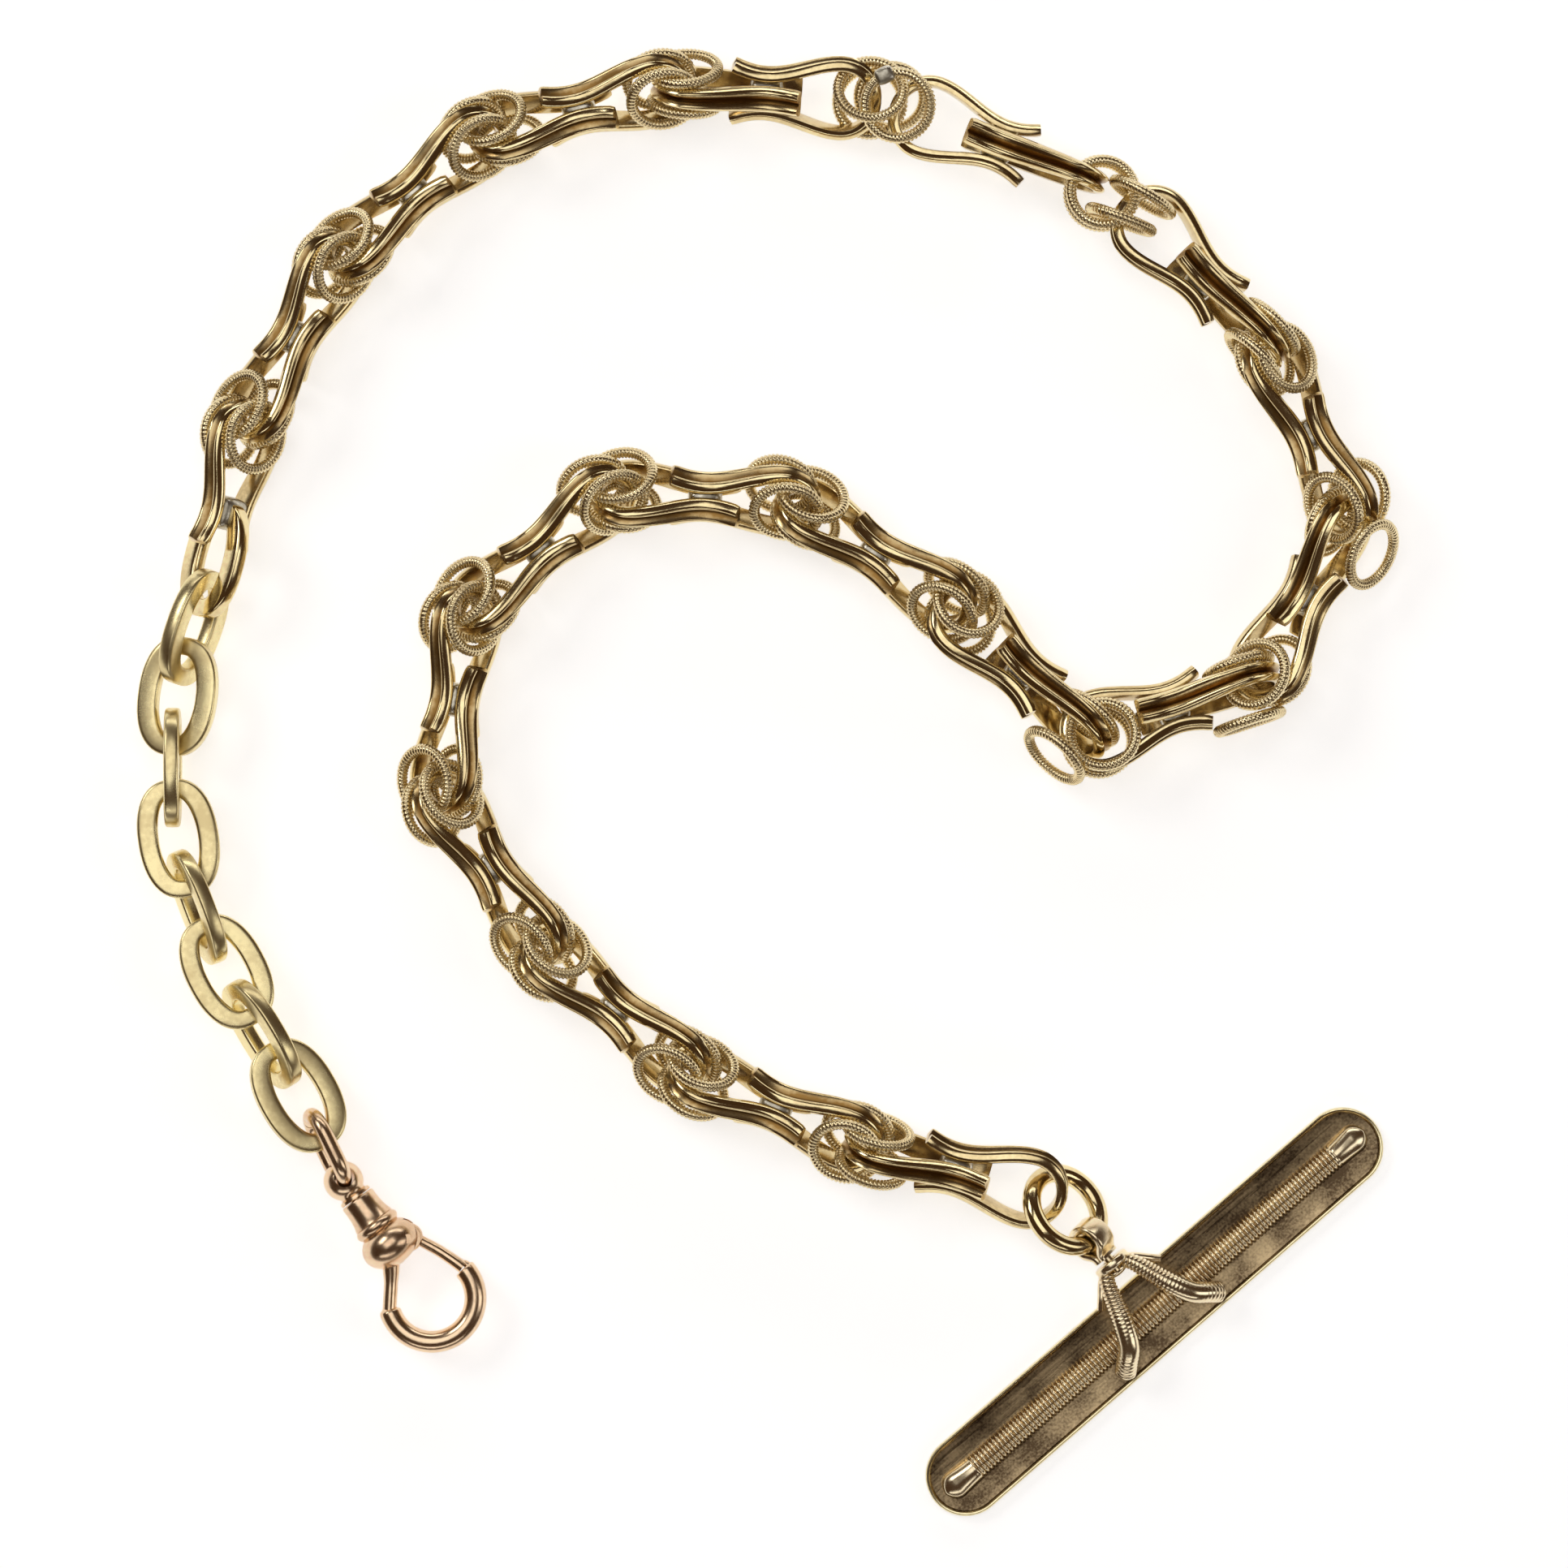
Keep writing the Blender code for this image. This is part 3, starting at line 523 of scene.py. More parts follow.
def stirrup_path():
    """Points from one tip round the bow to the other, with the width at each."""
    half = []
    for i in range(9):
        x = -TIP_REACH * (1 - i / 8)
        half.append((x, WAIST_SPREAD + (TIP_SPREAD - WAIST_SPREAD) * (x / TIP_REACH) ** 2))
    for i in range(1, 15):
        x = BELLY_REACH * i / 14
        half.append((x, mix(WAIST_SPREAD, BELLY_SPREAD, ease(i / 14))))
    for i in range(1, 13):
        turn = math.pi / 2 * i / 12
        reach = BELLY_REACH + (BOW_REACH - BELLY_REACH) * math.sin(turn)
        half.append((reach, BELLY_SPREAD * math.cos(turn)))
    points = half + [(x, -y) for x, y in reversed(half[:-1])]
    widths = [mix(STRIP_WIDTH, STRIP_WIDTH_AT_BOW, ease(x / BOW_REACH)) for x, _ in points]
    return [Vector((x, y, 0)) for x, y in points], widths


def stirrup():
    """One strip, bent; its cut ends are filed a little smaller."""
    points, widths = stirrup_path()
    places = stations(points, (0, 0, 1))
    last = len(points) - 1
    scales = [0.93 if i in (0, last) else 1.0 for i in range(last + 1)]
    return sweep(places, lambda i: strip_section(widths[i], scales[i]))


strip = stirrup()
print("one stirrup:", len(strip.faces), "faces")

# %% [markdown]
# Solder fills the waist, grey against the gold. A cube, cut finer and smoothed, gives the soft
# lump that melted metal leaves. It goes into the link's own mesh with its own material, because it
# wets both strips and has no edge of its own.

# %% The links
def add_bmesh(target, source, at, material=0):
    """Copies one bmesh into another through a mesh, placed and with this material."""
    mesh = bpy.data.meshes.new("part")
    source.to_mesh(mesh)
    mesh.transform(at)
    before = len(target.faces)
    target.from_mesh(mesh)
    target.faces.ensure_lookup_table()
    for face in target.faces[before:]:
        face.material_index = material
    bpy.data.meshes.remove(mesh)


def solder_lump(size):
    """A soft blob this big in X, Y and Z."""
    bm = bmesh.new()
    bmesh.ops.create_cube(bm, size=1)
    bmesh.ops.subdivide_edges(bm, edges=bm.edges, cuts=5, use_grid_fill=True)
    for _ in range(9):
        axes = {"use_axis_x": True, "use_axis_y": True, "use_axis_z": True}
        bmesh.ops.smooth_vert(bm, verts=bm.verts, factor=0.5, **axes)
    bmesh.ops.scale(bm, verts=bm.verts, vec=size)
    return bm


FORE = Matrix.Identity(4)
AFT = Matrix.Rotation(math.pi, 4, "Z") @ Matrix.Rotation(math.pi / 2, 4, "X")
lump = solder_lump((2.6 * MM, 2.55 * MM, 2.55 * MM))
whole_link = bmesh.new()
add_bmesh(whole_link, strip, FORE)
add_bmesh(whole_link, strip, AFT)
add_bmesh(whole_link, lump, FORE, 1)
for i, at in enumerate(links[1:], 1):
    name = f"stirrup_link_{i:02d}"
    finish(name + "_gold", whole_link.copy(), at, (pale_gold, solder), f"link_{i:02d}", name)
print("links:", len(links) - 1, "faces each:", len(whole_link.faces))

# %% [markdown]
# ## The flat links
# These were stamped from sheet and then worn round at their edges. The band is wider along the
# sides than at the ends, so the sweep follows the middle of the band and takes its width from the
# distance between the outer and the inner outline.

# %% Flat links
CABLE_LENGTH, CABLE_WIDTH = 8.9 * MM, 6.0 * MM
CABLE_END_BAND, CABLE_SIDE_BAND = 1.35 * MM, 1.55 * MM
CABLE_THICKNESS = 1.15 * MM
CABLE_SLACK = 0.9 * MM
SOLDERED_CABLE_SETBACK = 3.5 * MM


def stadium(length, width, steps):
    """Two straight sides and two half circles."""
    radius = width / 2
    run = length / 2 - radius
    points = []
    for end in (1, -1):
        for i in range(steps + 1):
            turn = math.pi * (i / steps - 0.5)
            x, y = run + radius * math.cos(turn), radius * math.sin(turn)
            points.append(Vector((end * x, end * y, 0)))
    return points


def power(value, exponent):
    """A power that keeps the sign of its value."""
    return math.copysign(abs(value) ** exponent, value)


def oval(length, width, count):
    """Between a stadium and an ellipse: the sides are not quite straight."""
    points = []
    for i in range(count):
        turn = 2 * math.pi * i / count
        x, y = power(math.cos(turn), 0.92), power(math.sin(turn), 0.8)
        points.append(Vector((x * length / 2, y * width / 2, 0)))
    return points


def worn_band(width, thickness, count=28):
    """Flat faces with worn corners: a superellipse, nearly a rectangle."""
    points = []
    for i in range(count):
        turn = 2 * math.pi * i / count
        x, y = power(math.cos(turn), 0.45), power(math.sin(turn), 0.34)
        points.append((x * width / 2, y * thickness / 2))
    return points


def flat_link():
    """One worn band round an oval, wider at the sides than at the ends."""
    outer = oval(CABLE_LENGTH, CABLE_WIDTH, 72)
    inner = oval(CABLE_LENGTH - 2 * CABLE_END_BAND, CABLE_WIDTH - 2 * CABLE_SIDE_BAND, 72)
    middle = [(a + b) / 2 for a, b in zip(outer, inner)]
    bands = [(a - b).length for a, b in zip(outer, inner)]
    places = stations(middle, (0, 0, 1), True)
    return sweep(places, lambda i: worn_band(bands[i], CABLE_THICKNESS), True)


def lay_cables():
    """The place of each flat link, one bite on from the last."""
    places = []
    middle = links[0] @ Vector((-SOLDERED_CABLE_SETBACK, 0, 0))
    step = (CABLE_LENGTH / 2 - CABLE_END_BAND) - CABLE_SLACK / 2
    before = pointing(LINKS[0][0] + 180)
    for heading, roll, height in CABLES:
        middle = middle + (before + pointing(heading)) * step
        middle.z = height * MM
        places.append(place(heading, roll, middle))
        before = pointing(heading)
    return places


flat = flat_link()
cables = lay_cables()
for i, at in enumerate(cables, 2):
    finish(f"flat_link_{i}_gold", flat.copy(), at, (flat_gold,), f"flat_{i}", f"flat_link_{i}")

# the first stirrup link has one strip, and a flat link soldered in where the other would be
first = bmesh.new()
add_bmesh(first, strip, FORE)
set_back = Matrix.Translation((-SOLDERED_CABLE_SETBACK, 0, 0)) @ Matrix.Rotation(math.pi / 2, 4, "X")
add_bmesh(first, flat, set_back)
add_bmesh(first, lump, FORE, 1)
finish("stirrup_link_00_gold", first, links[0], (pale_gold, solder), "link_00", "stirrup_link_00")
print("flat links:", len(cables), "faces each:", len(flat.faces))

# %% [markdown]
# ## The beaded rings
# Four rings tie each pair of hooked bows: two stand beside each strip and go round the other bow.
# They are bent from beaded wire, with some fifty beads to a ring, and use has rubbed some of them
# nearly flat. A texture could fake the beads, but their outline shows, so a plain torus is spun in
# fine steps and its tube is pinched between beads. Each ring is worn in a different place.

# %% Beaded rings
RING_OUTER, RING_WIRE = 5.7 * MM, 0.86 * MM
BEADS = 53


def beaded_ring(seed):
    """A ring of beaded wire, rubbed smoother on one side that the seed picks."""
    bm = bmesh.new()
    shade_layer = bm.verts.layers.float.new("painted_groove_shade")
    middle = (RING_OUTER - RING_WIRE) / 2
    verts = [bm.verts.new((middle + x, 0, y)) for x, y in circle(RING_WIRE / 2, 10)]
    edges = [bm.edges.new(pair) for pair in zip(verts, verts[1:] + verts[:1])]
    spun = {"axis": (0, 0, 1), "cent": (0, 0, 0), "angle": 2 * math.pi, "steps": BEADS * 5, "use_merge": True}
    bmesh.ops.spin(bm, geom=verts + edges, **spun)
    bmesh.ops.remove_doubles(bm, verts=bm.verts, dist=0.0005 * MM)
    worn_at = random.Random(seed).uniform(0, 2 * math.pi)
    for vert in bm.verts:
        around = math.atan2(vert.co.y, vert.co.x)
        centre = Vector((math.cos(around), math.sin(around), 0)) * middle
        worn = 0.5 + 0.5 * math.cos(around - worn_at)
        bead = abs(math.sin(BEADS / 2 * around + 2.2 * (vert.co.z / RING_WIRE)))
        valley = (1 - bead) ** 1.2 * (1 - 0.5 * worn)
        vert.co = centre + (vert.co - centre) * (1 - 0.3 * valley)
        # painted shade between the beads, weaker where the ring is rubbed smooth
        vert[shade_layer] = 0.7 * valley
    bmesh.ops.recalc_face_normals(bm, faces=bm.faces)
    return bm


print("bead count:", BEADS, "faces each:", len(beaded_ring(0).faces))

# %% [markdown]
# Where does each ring lie? One of every four is placed by the solid model. The other three settle:
# each tries the seats beside its strip, the nearest first, and takes the one where it touches the
# fewest neighbours. A tree of faces, a BVH, answers whether two meshes touch, and a plain thin
# torus stands in for the ring while it is being tried.

# %% Settle the rings
def spun_ring(section, steps):
    """A closed ring round Z from a closed loop of (radius, height)."""
    bm = bmesh.new()
    verts = [bm.verts.new((radius, 0, height)) for radius, height in section]
    edges = [bm.edges.new(pair) for pair in zip(verts, verts[1:] + verts[:1])]
    spun = {"axis": (0, 0, 1), "cent": (0, 0, 0), "angle": 2 * math.pi, "steps": steps, "use_merge": True}
    bmesh.ops.spin(bm, geom=verts + edges, **spun)
    bmesh.ops.remove_doubles(bm, verts=bm.verts, dist=0.0005 * MM)
    bmesh.ops.recalc_face_normals(bm, faces=bm.faces)
    return bm


def torus(outer, wire, steps, across):
    """A round wire closed to a ring of this outer diameter."""
    middle = (outer - wire) / 2
    return spun_ring([(middle + x, y) for x, y in circle(wire / 2, across)], steps)


def tree_at(bm, at):
    """The faces of a bmesh at a place, ready to be asked what they touch."""
    placed = bm.copy()
    placed.transform(at)
    tree = BVHTree.FromBMesh(placed)
    placed.free()
    return tree


def faced(middle, normal):
    """A place whose Z is this normal."""
    return Matrix.Translation(middle) @ normal.to_track_quat("Z", "Y").to_matrix().to_4x4()


def up_side(normal):
    """The same axis, pointing up."""
    return normal if normal.z >= 0 else -normal


SLIGHT_BEND = 0.3


def modelled_seat(i):
    """Where the solid ring of joint i is, as the solid model has it."""
    round_next, twist, slide, off = RINGS[i]
    this, following = links[i], links[i + 1]
    along = (axis_of(this, 0) + axis_of(following, 0)).normalized()
    normal = axis_of(this, 2) if round_next else axis_of(following, 1)
    normal = up_side(Matrix.Rotation(math.radians(twist), 3, along) @ normal)
    bow = following @ Vector((-BOW_REACH, 0, 0)) if round_next else this @ Vector((BOW_REACH, 0, 0))
    return faced(bow + along * slide * MM + normal * off * MM, normal)


def free_seats(i, round_next, side):
    """Seats on one side of a strip, nearest first, each a little further out, turned or slid."""
    this, following = links[i], links[i + 1]
    along = (axis_of(this, 0) + axis_of(following, 0)).normalized()
    bow = following @ Vector((-BOW_REACH, 0, 0)) if round_next else this @ Vector((BOW_REACH, 0, 0))
    if round_next:
        own, other = axis_of(this, 2), axis_of(following, 2)
        tilts = ((0, 1), (0.4, 1))
    else:
        own, other = axis_of(following, 1), axis_of(this, 1)
        tilts = ((0, 0.3), (0, 0.6), (0, 1), (0.4, 1))
    other = other if own.dot(other) > 0 else -other
    bend = axis_of(following, 0) - axis_of(this, 0)
    inside = bend.normalized() if bend.length > SLIGHT_BEND else Vector((0, 0, 0))
    for off in (1.3, 1.45, 1.6):
        for inward in (0.8, 0.4, 0):
            for lean, flatten in tilts:
                for slide in (0, 0.4, -0.4, 0.8):
                    tilted = own * (1 - lean) + other * lean
                    tilted.z *= flatten
                    normal = up_side(tilted.normalized())
                    shift = along * slide + inside * inward + normal * side * off
                    yield faced(bow + shift * MM, normal)


def settle(seats, trial, taken):
    """The first seat that touches nothing, or else the one that touches least."""
    best, least = None, None
    for at in seats:
        tree = tree_at(trial, at)
        touching = sum(len(tree.overlap(other)) for other in taken)
        if least is None or touching < least:
            best, least = at, touching
        if not touching:
            break
    return best


trial = torus(RING_OUTER, RING_WIRE, 24, 6)
link_trees = [tree_at(whole_link, at) for at in links]
ring_count = 0
for i in range(len(links) - 1):
    round_next = RINGS[i][0]
    seats = [modelled_seat(i)]
    taken = [link_trees[i], link_trees[i + 1], tree_at(trial, seats[0])]
    for own_pair, side in ((True, -1), (False, 1), (False, -1)):
        at = settle(free_seats(i, round_next == own_pair, side), trial, taken)
        taken.append(tree_at(trial, at))
        seats.append(at)
    for n, at in enumerate(seats):
        # the modelled ring's pair turns with it, the others with the link that they stand beside
        beside = i + 1 if round_next else i
        body = f"ring_{i + 1:02d}" if n < 2 else f"link_{beside:02d}"
        node = f"beaded_ring_{i + 1:02d}" if n == 0 else None
        name = f"beaded_{i + 1:02d}_{'abcd'[n]}"
        piece = finish(name, beaded_ring(10 * i + n), at, (ring_gold,), body, node, sharp=80)
        ring_count += 1
print("rings:", ring_count, "faces each:", len(piece.data.polygons))

# %% [markdown]
# ## The old repair
# One set of rings was pulled open once and soldered again, and a grey drop of the solder stayed.

# %% The drop of solder
drop = solder_lump((1.5 * MM, 1.3 * MM, 1.2 * MM))
seat = modelled_seat(4)
on_wire = seat @ Matrix.Translation((0, (RING_OUTER - RING_WIRE) / 2, 0))
finish("repair_solder", drop, on_wire, (solder,), "ring_05")
print("repair drop placed")

# %% [markdown]
# ## The clasp
# The clasp is rose gold. It hangs from the last flat link by a shackle: a round wire bent to an
# oval, with a hair seam where its ends were butted. A curve with a bevel would do as well, but the
# sweep lets the wire pinch in at the seam, which a bevelled curve does less easily.

# %% The shackle
SHACKLE_LENGTH, SHACKLE_WIDTH, SHACKLE_WIRE, SHACKLE_SLACK = 6.6 * MM, 4.7 * MM, 1.2 * MM, 0.7 * MM
SEAM_AT = 52


def lay_shackle():
    """The shackle hangs on the end of the last flat link."""
    heading, roll, height = SHACKLE_POSE
    middle = cables[-1] @ Vector((CABLE_LENGTH / 2 - CABLE_END_BAND, 0, 0))
    middle += pointing(heading) * (SHACKLE_LENGTH / 2 - SHACKLE_WIRE - SHACKLE_SLACK)
    middle.z = height * MM
    return place(heading, roll, middle)


def shackle_wire():
    """A round wire bent to an oval, with the hair seam where its ends meet."""
    line = stadium(SHACKLE_LENGTH - SHACKLE_WIRE, SHACKLE_WIDTH - SHACKLE_WIRE, 30)
    step = (line[SEAM_AT + 1] - line[SEAM_AT]).normalized() * 0.04 * MM
    line[SEAM_AT + 1:SEAM_AT + 1] = [line[SEAM_AT] + step, line[SEAM_AT] + 2 * step]

    def outline(i):
        return circle(SHACKLE_WIRE / 2 * (0.88 if i == SEAM_AT + 1 else 1.0))

    return sweep(stations(line, (0, 0, 1), True), outline, True)


shackle = lay_shackle()
finish("shackle_wire", shackle_wire(), shackle, (rose_gold,), "shackle", "shackle", sharp=70)
print("shackle at, mm:", tuple(round(v / MM, 1) for v in shackle.translation))

# %% [markdown]
# The rest of the clasp was turned on a lathe, then drilled and slotted. A turned part is one
# profile, spun. A hole across it is the cut that an operator on edges can't make, so there a
# Boolean modifier does the work, and its result comes back as a bmesh.

# %% Carving one closed shape with another
def carve(bm, cutter, operation="DIFFERENCE"):
    """Cuts or joins with a Boolean modifier, and returns the result as a bmesh."""
    made = []
    for name, source in (("carved", bm), ("cutter", cutter)):
        mesh = bpy.data.meshes.new(name)
        source.to_mesh(mesh)
        source.free()
        made.append(bpy.data.objects.new(name, mesh))
        bpy.context.scene.collection.objects.link(made[-1])
    body, tool = made
    cut = body.modifiers.new("cut", "BOOLEAN")
    cut.operation = operation
    cut.object = tool
    bpy.context.view_layer.update()
    graph = bpy.context.evaluated_depsgraph_get()
    result = bmesh.new()
    result.from_object(body, graph)
    for obj in made:
        bpy.data.objects.remove(obj, do_unlink=True)
    return result


def rod(radius, start, end, sides=48):
    """A cylinder between two points."""
    start, end = Vector(start), Vector(end)
    bm = bmesh.new()
    size = {"radius1": radius, "radius2": radius, "depth": (end - start).length, "segments": sides}
    bmesh.ops.create_cone(bm, cap_ends=True, **size)
    bm.transform(faced((start + end) / 2, (end - start).normalized()))
    return bm


print("carving helpers ready")

# %% [markdown]
# The eye is a drilled ball on a foot. The shackle runs through the ball, and a pin under the foot
# goes down into the barrel and turns there, so the chain can twist without turning the watch.
# The drill is tilted as the shackle is, so the wire passes through the middle of its hole.

# %% The swivel eye
EYE_RADIUS = 1.5 * MM
SWIVEL_PIN, SWIVEL_PIN_REACH, SWIVEL_GAP = 1.2 * MM, 3.1 * MM, 0.3 * MM


def swivel_eye():
    """A drilled ball on a foot, with the pin that turns in the barrel."""
    profile = []
    for i in range(15):
        turn = math.pi * 0.76 * i / 14
        profile.append((-EYE_RADIUS * math.cos(turn), EYE_RADIUS * math.sin(turn)))
    foot = [(1.2, 1.02), (1.28, 1.2), (1.34, 1.28), (1.54, 1.3), (1.58, 1.26), (1.58, 0.6)]
    profile += [(x * MM, r * MM) for x, r in foot]
    profile += [(SWIVEL_PIN_REACH, SWIVEL_PIN / 2), (SWIVEL_PIN_REACH, 0)]
    ball = turned(profile)
    drill = rod(SHACKLE_WIRE / 2 + 0.16 * MM, (-0.2 * MM, -3 * MM, 0), (-0.2 * MM, 3 * MM, 0))
    drill.transform(Matrix.Rotation(math.radians(SHACKLE_POSE[1]), 4, "X"))
    return carve(ball, drill)


def lay_swivel():
    """The eye's ball sits on the shackle's far end."""
    middle = shackle @ Vector(((SHACKLE_LENGTH - SHACKLE_WIRE) / 2, 0, 0))
    middle.z = SWIVEL_HEIGHT * MM
    return place(SWIVEL_HEADING, 0, middle)


swivel = lay_swivel()
finish("swivel_eye_ball", swivel_eye(), swivel, (rose_gold,), "eye", "swivel_eye", sharp=40)
print("swivel eye at, mm:", tuple(round(v / MM, 1) for v in swivel.translation))

# %% [markdown]
# A barrel widens to a beaded collar, and below it is a ball. The hook leaves the ball as a thin
# stem, steps up to a thick wire at a shoulder, and comes round to a small nib. The profile's
# points lie close together where a real edge was broken with a file, so highlights stay crisp
# there. The hook is a sweep whose radius jumps at the shoulder, joined to the ball by a Boolean.

# %% The barrel, the ball and the hook
# (distance along the clasp, radius), mm
BARREL = (
    (1.65, 1.0),
    (1.65, 1.29),
    (1.69, 1.35),
    (1.76, 1.38),
    (2.2, 1.37),
    (2.7, 1.39),
    (3.2, 1.46),
    (3.55, 1.56),
)
COLLAR = (
    (3.7, 1.62),
    (3.76, 1.58),
    (3.84, 1.66),
    (3.96, 1.74),
    (4.1, 1.78),
    (4.26, 1.76),
    (4.4, 1.68),
    (4.5, 1.6),
)
BALL_AT, BALL_RADIUS, BALL_HALF = 5.8 * MM, 2.3 * MM, 1.7 * MM
BALL_FROM = 42
HOOK_AT, HOOK_RADIUS = 10.9 * MM, 3.25 * MM
HOOK_OPENS = (-112, 96)
STEM_WIRE, HOOK_WIRE = 1.05 * MM, 1.65 * MM
GATE_PIN_OFFSET = (0.45 * MM, 1.35 * MM)
GATE_KNUCKLE, GATE_KNUCKLE_THICKNESS, GATE_SLOT_REACH = 2.1 * MM, 1.1 * MM, 3.0 * MM
GATE_PIN, GATE_WIRE, GATE_TIP_GAP = 0.7 * MM, 1.0 * MM, 0.3 * MM


def on_hook(degrees):
    """A point on the hook's round middle line."""
    turn = math.radians(degrees)
    return Vector((HOOK_AT + HOOK_RADIUS * math.cos(turn), HOOK_RADIUS * math.sin(turn), 0))


def hook_sweep():
    """The thin stem, the shoulder, and the thick round end."""
    first, last = HOOK_OPENS
    start = on_hook(first)
    root = Vector((BALL_AT + 0.6 * MM, -0.5 * MM, 0))
    neck = Vector((BALL_AT + 2.0 * MM, -1.45 * MM, 0))
    stem = smooth_path((root, neck, start), 8)
    shoulder = ((0.25, 0.8), (1.0, 0.9), (2.5, 0.97), (5.0, 1.0))
    round_end = [(first + (last - first) * i / 60, 1.0) for i in range(3, 59)]
    tip = ((last - 2.0, 0.99), (last - 1.0, 0.95), (last, 0.86))
    arc = [(first + turn, size) for turn, size in shoulder] + round_end + list(tip)
    thin, thick = STEM_WIRE / 2, HOOK_WIRE / 2
    points = stem + [on_hook(turn) for turn, _ in arc]
    radii = [thin * (1 + 0.5 * max(0, 1 - i / 10)) for i in range(len(stem))]
    radii += [thick * size for _, size in arc]
    return sweep(stations(points, (0, 0, 1)), lambda i: circle(radii[i], 24))


def gate_slot():
    """The block that a saw would take out of the ball for the gate's knuckle."""
    along, left = GATE_PIN_OFFSET
    reach = GATE_KNUCKLE / 2 + SWIVEL_GAP
    bm = bmesh.new()
    bmesh.ops.create_cube(bm, size=1)
    size = Vector((GATE_SLOT_REACH + reach, GATE_SLOT_REACH + reach, GATE_KNUCKLE_THICKNESS + 0.12 * MM))
    bmesh.ops.scale(bm, verts=bm.verts, vec=size)
    start = Vector((BALL_AT + along - reach, left - reach, 0))
    bmesh.ops.translate(bm, verts=bm.verts, vec=start + Vector((size.x / 2, size.y / 2, 0)))
    return bm


def swivel_body():
    """Barrel, collar and ball in one turning, slotted, with the hook grown on."""
    depth, socket = SWIVEL_PIN_REACH + SWIVEL_GAP, SWIVEL_PIN / 2 + SWIVEL_GAP
    profile = [(depth, 0), (depth, socket)] + [(x * MM, r * MM) for x, r in BARREL + COLLAR]
    for i in range(27):
        turn = math.radians(mix(BALL_FROM, 180, i / 26))
        profile.append((BALL_AT - BALL_HALF * math.cos(turn), BALL_RADIUS * math.sin(turn)))
    profile[-1] = (BALL_AT + BALL_HALF, 0)
    return carve(carve(turned(profile), gate_slot()), hook_sweep(), "UNION")


def hook_lip():
    """The little nib on the hook's tip that the gate's end closes under."""
    tip, before = on_hook(HOOK_OPENS[1]), on_hook(HOOK_OPENS[1] - 2)
    inward = (tip - before).normalized()
    outward = pointing(HOOK_OPENS[1])
    line = [tip + outward * 0.36 * MM + inward * reach * MM for reach in (-0.5, -0.2, 0.1, 0.32, 0.45)]
    radii = (0.2 * MM, 0.3 * MM, 0.27 * MM, 0.19 * MM, 0.08 * MM)
    return sweep(stations(line, (0, 0, 1)), lambda i: circle(radii[i], 16))


body = swivel_body()
add_bmesh(body, hook_lip(), FORE)
along, left = GATE_PIN_OFFSET
pin_at = Vector((BALL_AT + along, left, 0))
for side in (1, -1):
    start, end = Vector((0, 0, side * 1.4 * MM)), Vector((0, 0, side * 1.8 * MM))
    add_bmesh(body, rod(GATE_PIN / 2, pin_at + start, pin_at + end, 32), FORE)
finish("swivel_body_hook", body, swivel, (rose_gold,), "hook", "swivel_body", sharp=40)
print("hook made")

# %% [markdown]
# The gate turns on a pin through the ball. Its knuckle is a flat ring that fills the slot, and its
# bar runs to the hook's nib. It is made about its own pin and then placed, because that is where
# the joint turns it.

# %% The gate
def gate():
    """A round knuckle in the slot and a bar that runs to the hook's tip."""
    half, radius = GATE_KNUCKLE_THICKNESS / 2, GATE_KNUCKLE / 2
    bore = GATE_PIN / 2 + 0.05 * MM
    soft = 0.12 * MM
    section = [(bore, -half), (radius - soft, -half), (radius, soft - half), (radius, half - soft)]
    section += [(radius - soft, half), (bore, half)]
    knuckle = spun_ring(section, 48)
    tip = on_hook(HOOK_OPENS[1]) - on_hook(HOOK_OPENS[1] - 2)
    tip = on_hook(HOOK_OPENS[1]) + tip.normalized() * (GATE_TIP_GAP / 3) - pin_at
    side = Vector((-tip.y, tip.x, 0)).normalized()
    line = [tip * 0.18 + side * 0.2 * MM, tip * 0.5 + side * 0.22 * MM, tip * 0.8 + side * 0.12 * MM, tip]
    points = smooth_path(line, 6)
    last = len(points) - 1
    radii = [GATE_WIRE / 2 * (0.84 if i < 3 else 0.86 + 0.1 * ease(i / last)) for i in range(last + 1)]
    wire = sweep(stations(points, (0, 0, 1)), lambda i: circle(radii[i], 20))
    add_bmesh(knuckle, wire, FORE)
    return knuckle


pivot = swivel @ Matrix.Translation(pin_at)
finish("gate_bar", gate(), pivot, (rose_gold,), "gate", "gate", sharp=45)
print("gate at, mm:", tuple(round(v / MM, 1) for v in pivot.translation))

# %% [markdown]
# ## The jump ring and the post
# A plain ring joins the chain to the bar. The post hangs on it: a strap folded round the ring, its
# two legs closed on a pin, and the pin riveted over the disc so that the bar can spin.

# %% Jump ring and post
JUMP_RING_OUTER, JUMP_RING_WIRE, JUMP_RING_ROLL = 7.3 * MM, 1.4 * MM, -42
BOW_TO_JUMP_RING = (-70, 1.0 * MM, -0.4 * MM)
POST_STRAP, POST_WIDTH, POST_FIT, POST_LENGTH = 0.64 * MM, 1.85 * MM, 0.2 * MM, 1.7 * MM
POST_PIN, POST_RIVET, POST_RIVET_THICKNESS = 0.8 * MM, 1.8 * MM, 0.4 * MM
DISC_DIAMETER, DISC_THICKNESS, LAND_GAP = 2.9 * MM, 0.65 * MM, 0.3 * MM


def lay_jump_ring():
    """The jump ring hangs in the last link's bow."""
    heading, run, rise = BOW_TO_JUMP_RING
    middle = links[-1] @ Vector((BOW_REACH, 0, 0)) + pointing(heading) * run + Vector((0, 0, rise))
    return place(POST_HEADING, JUMP_RING_ROLL, middle)


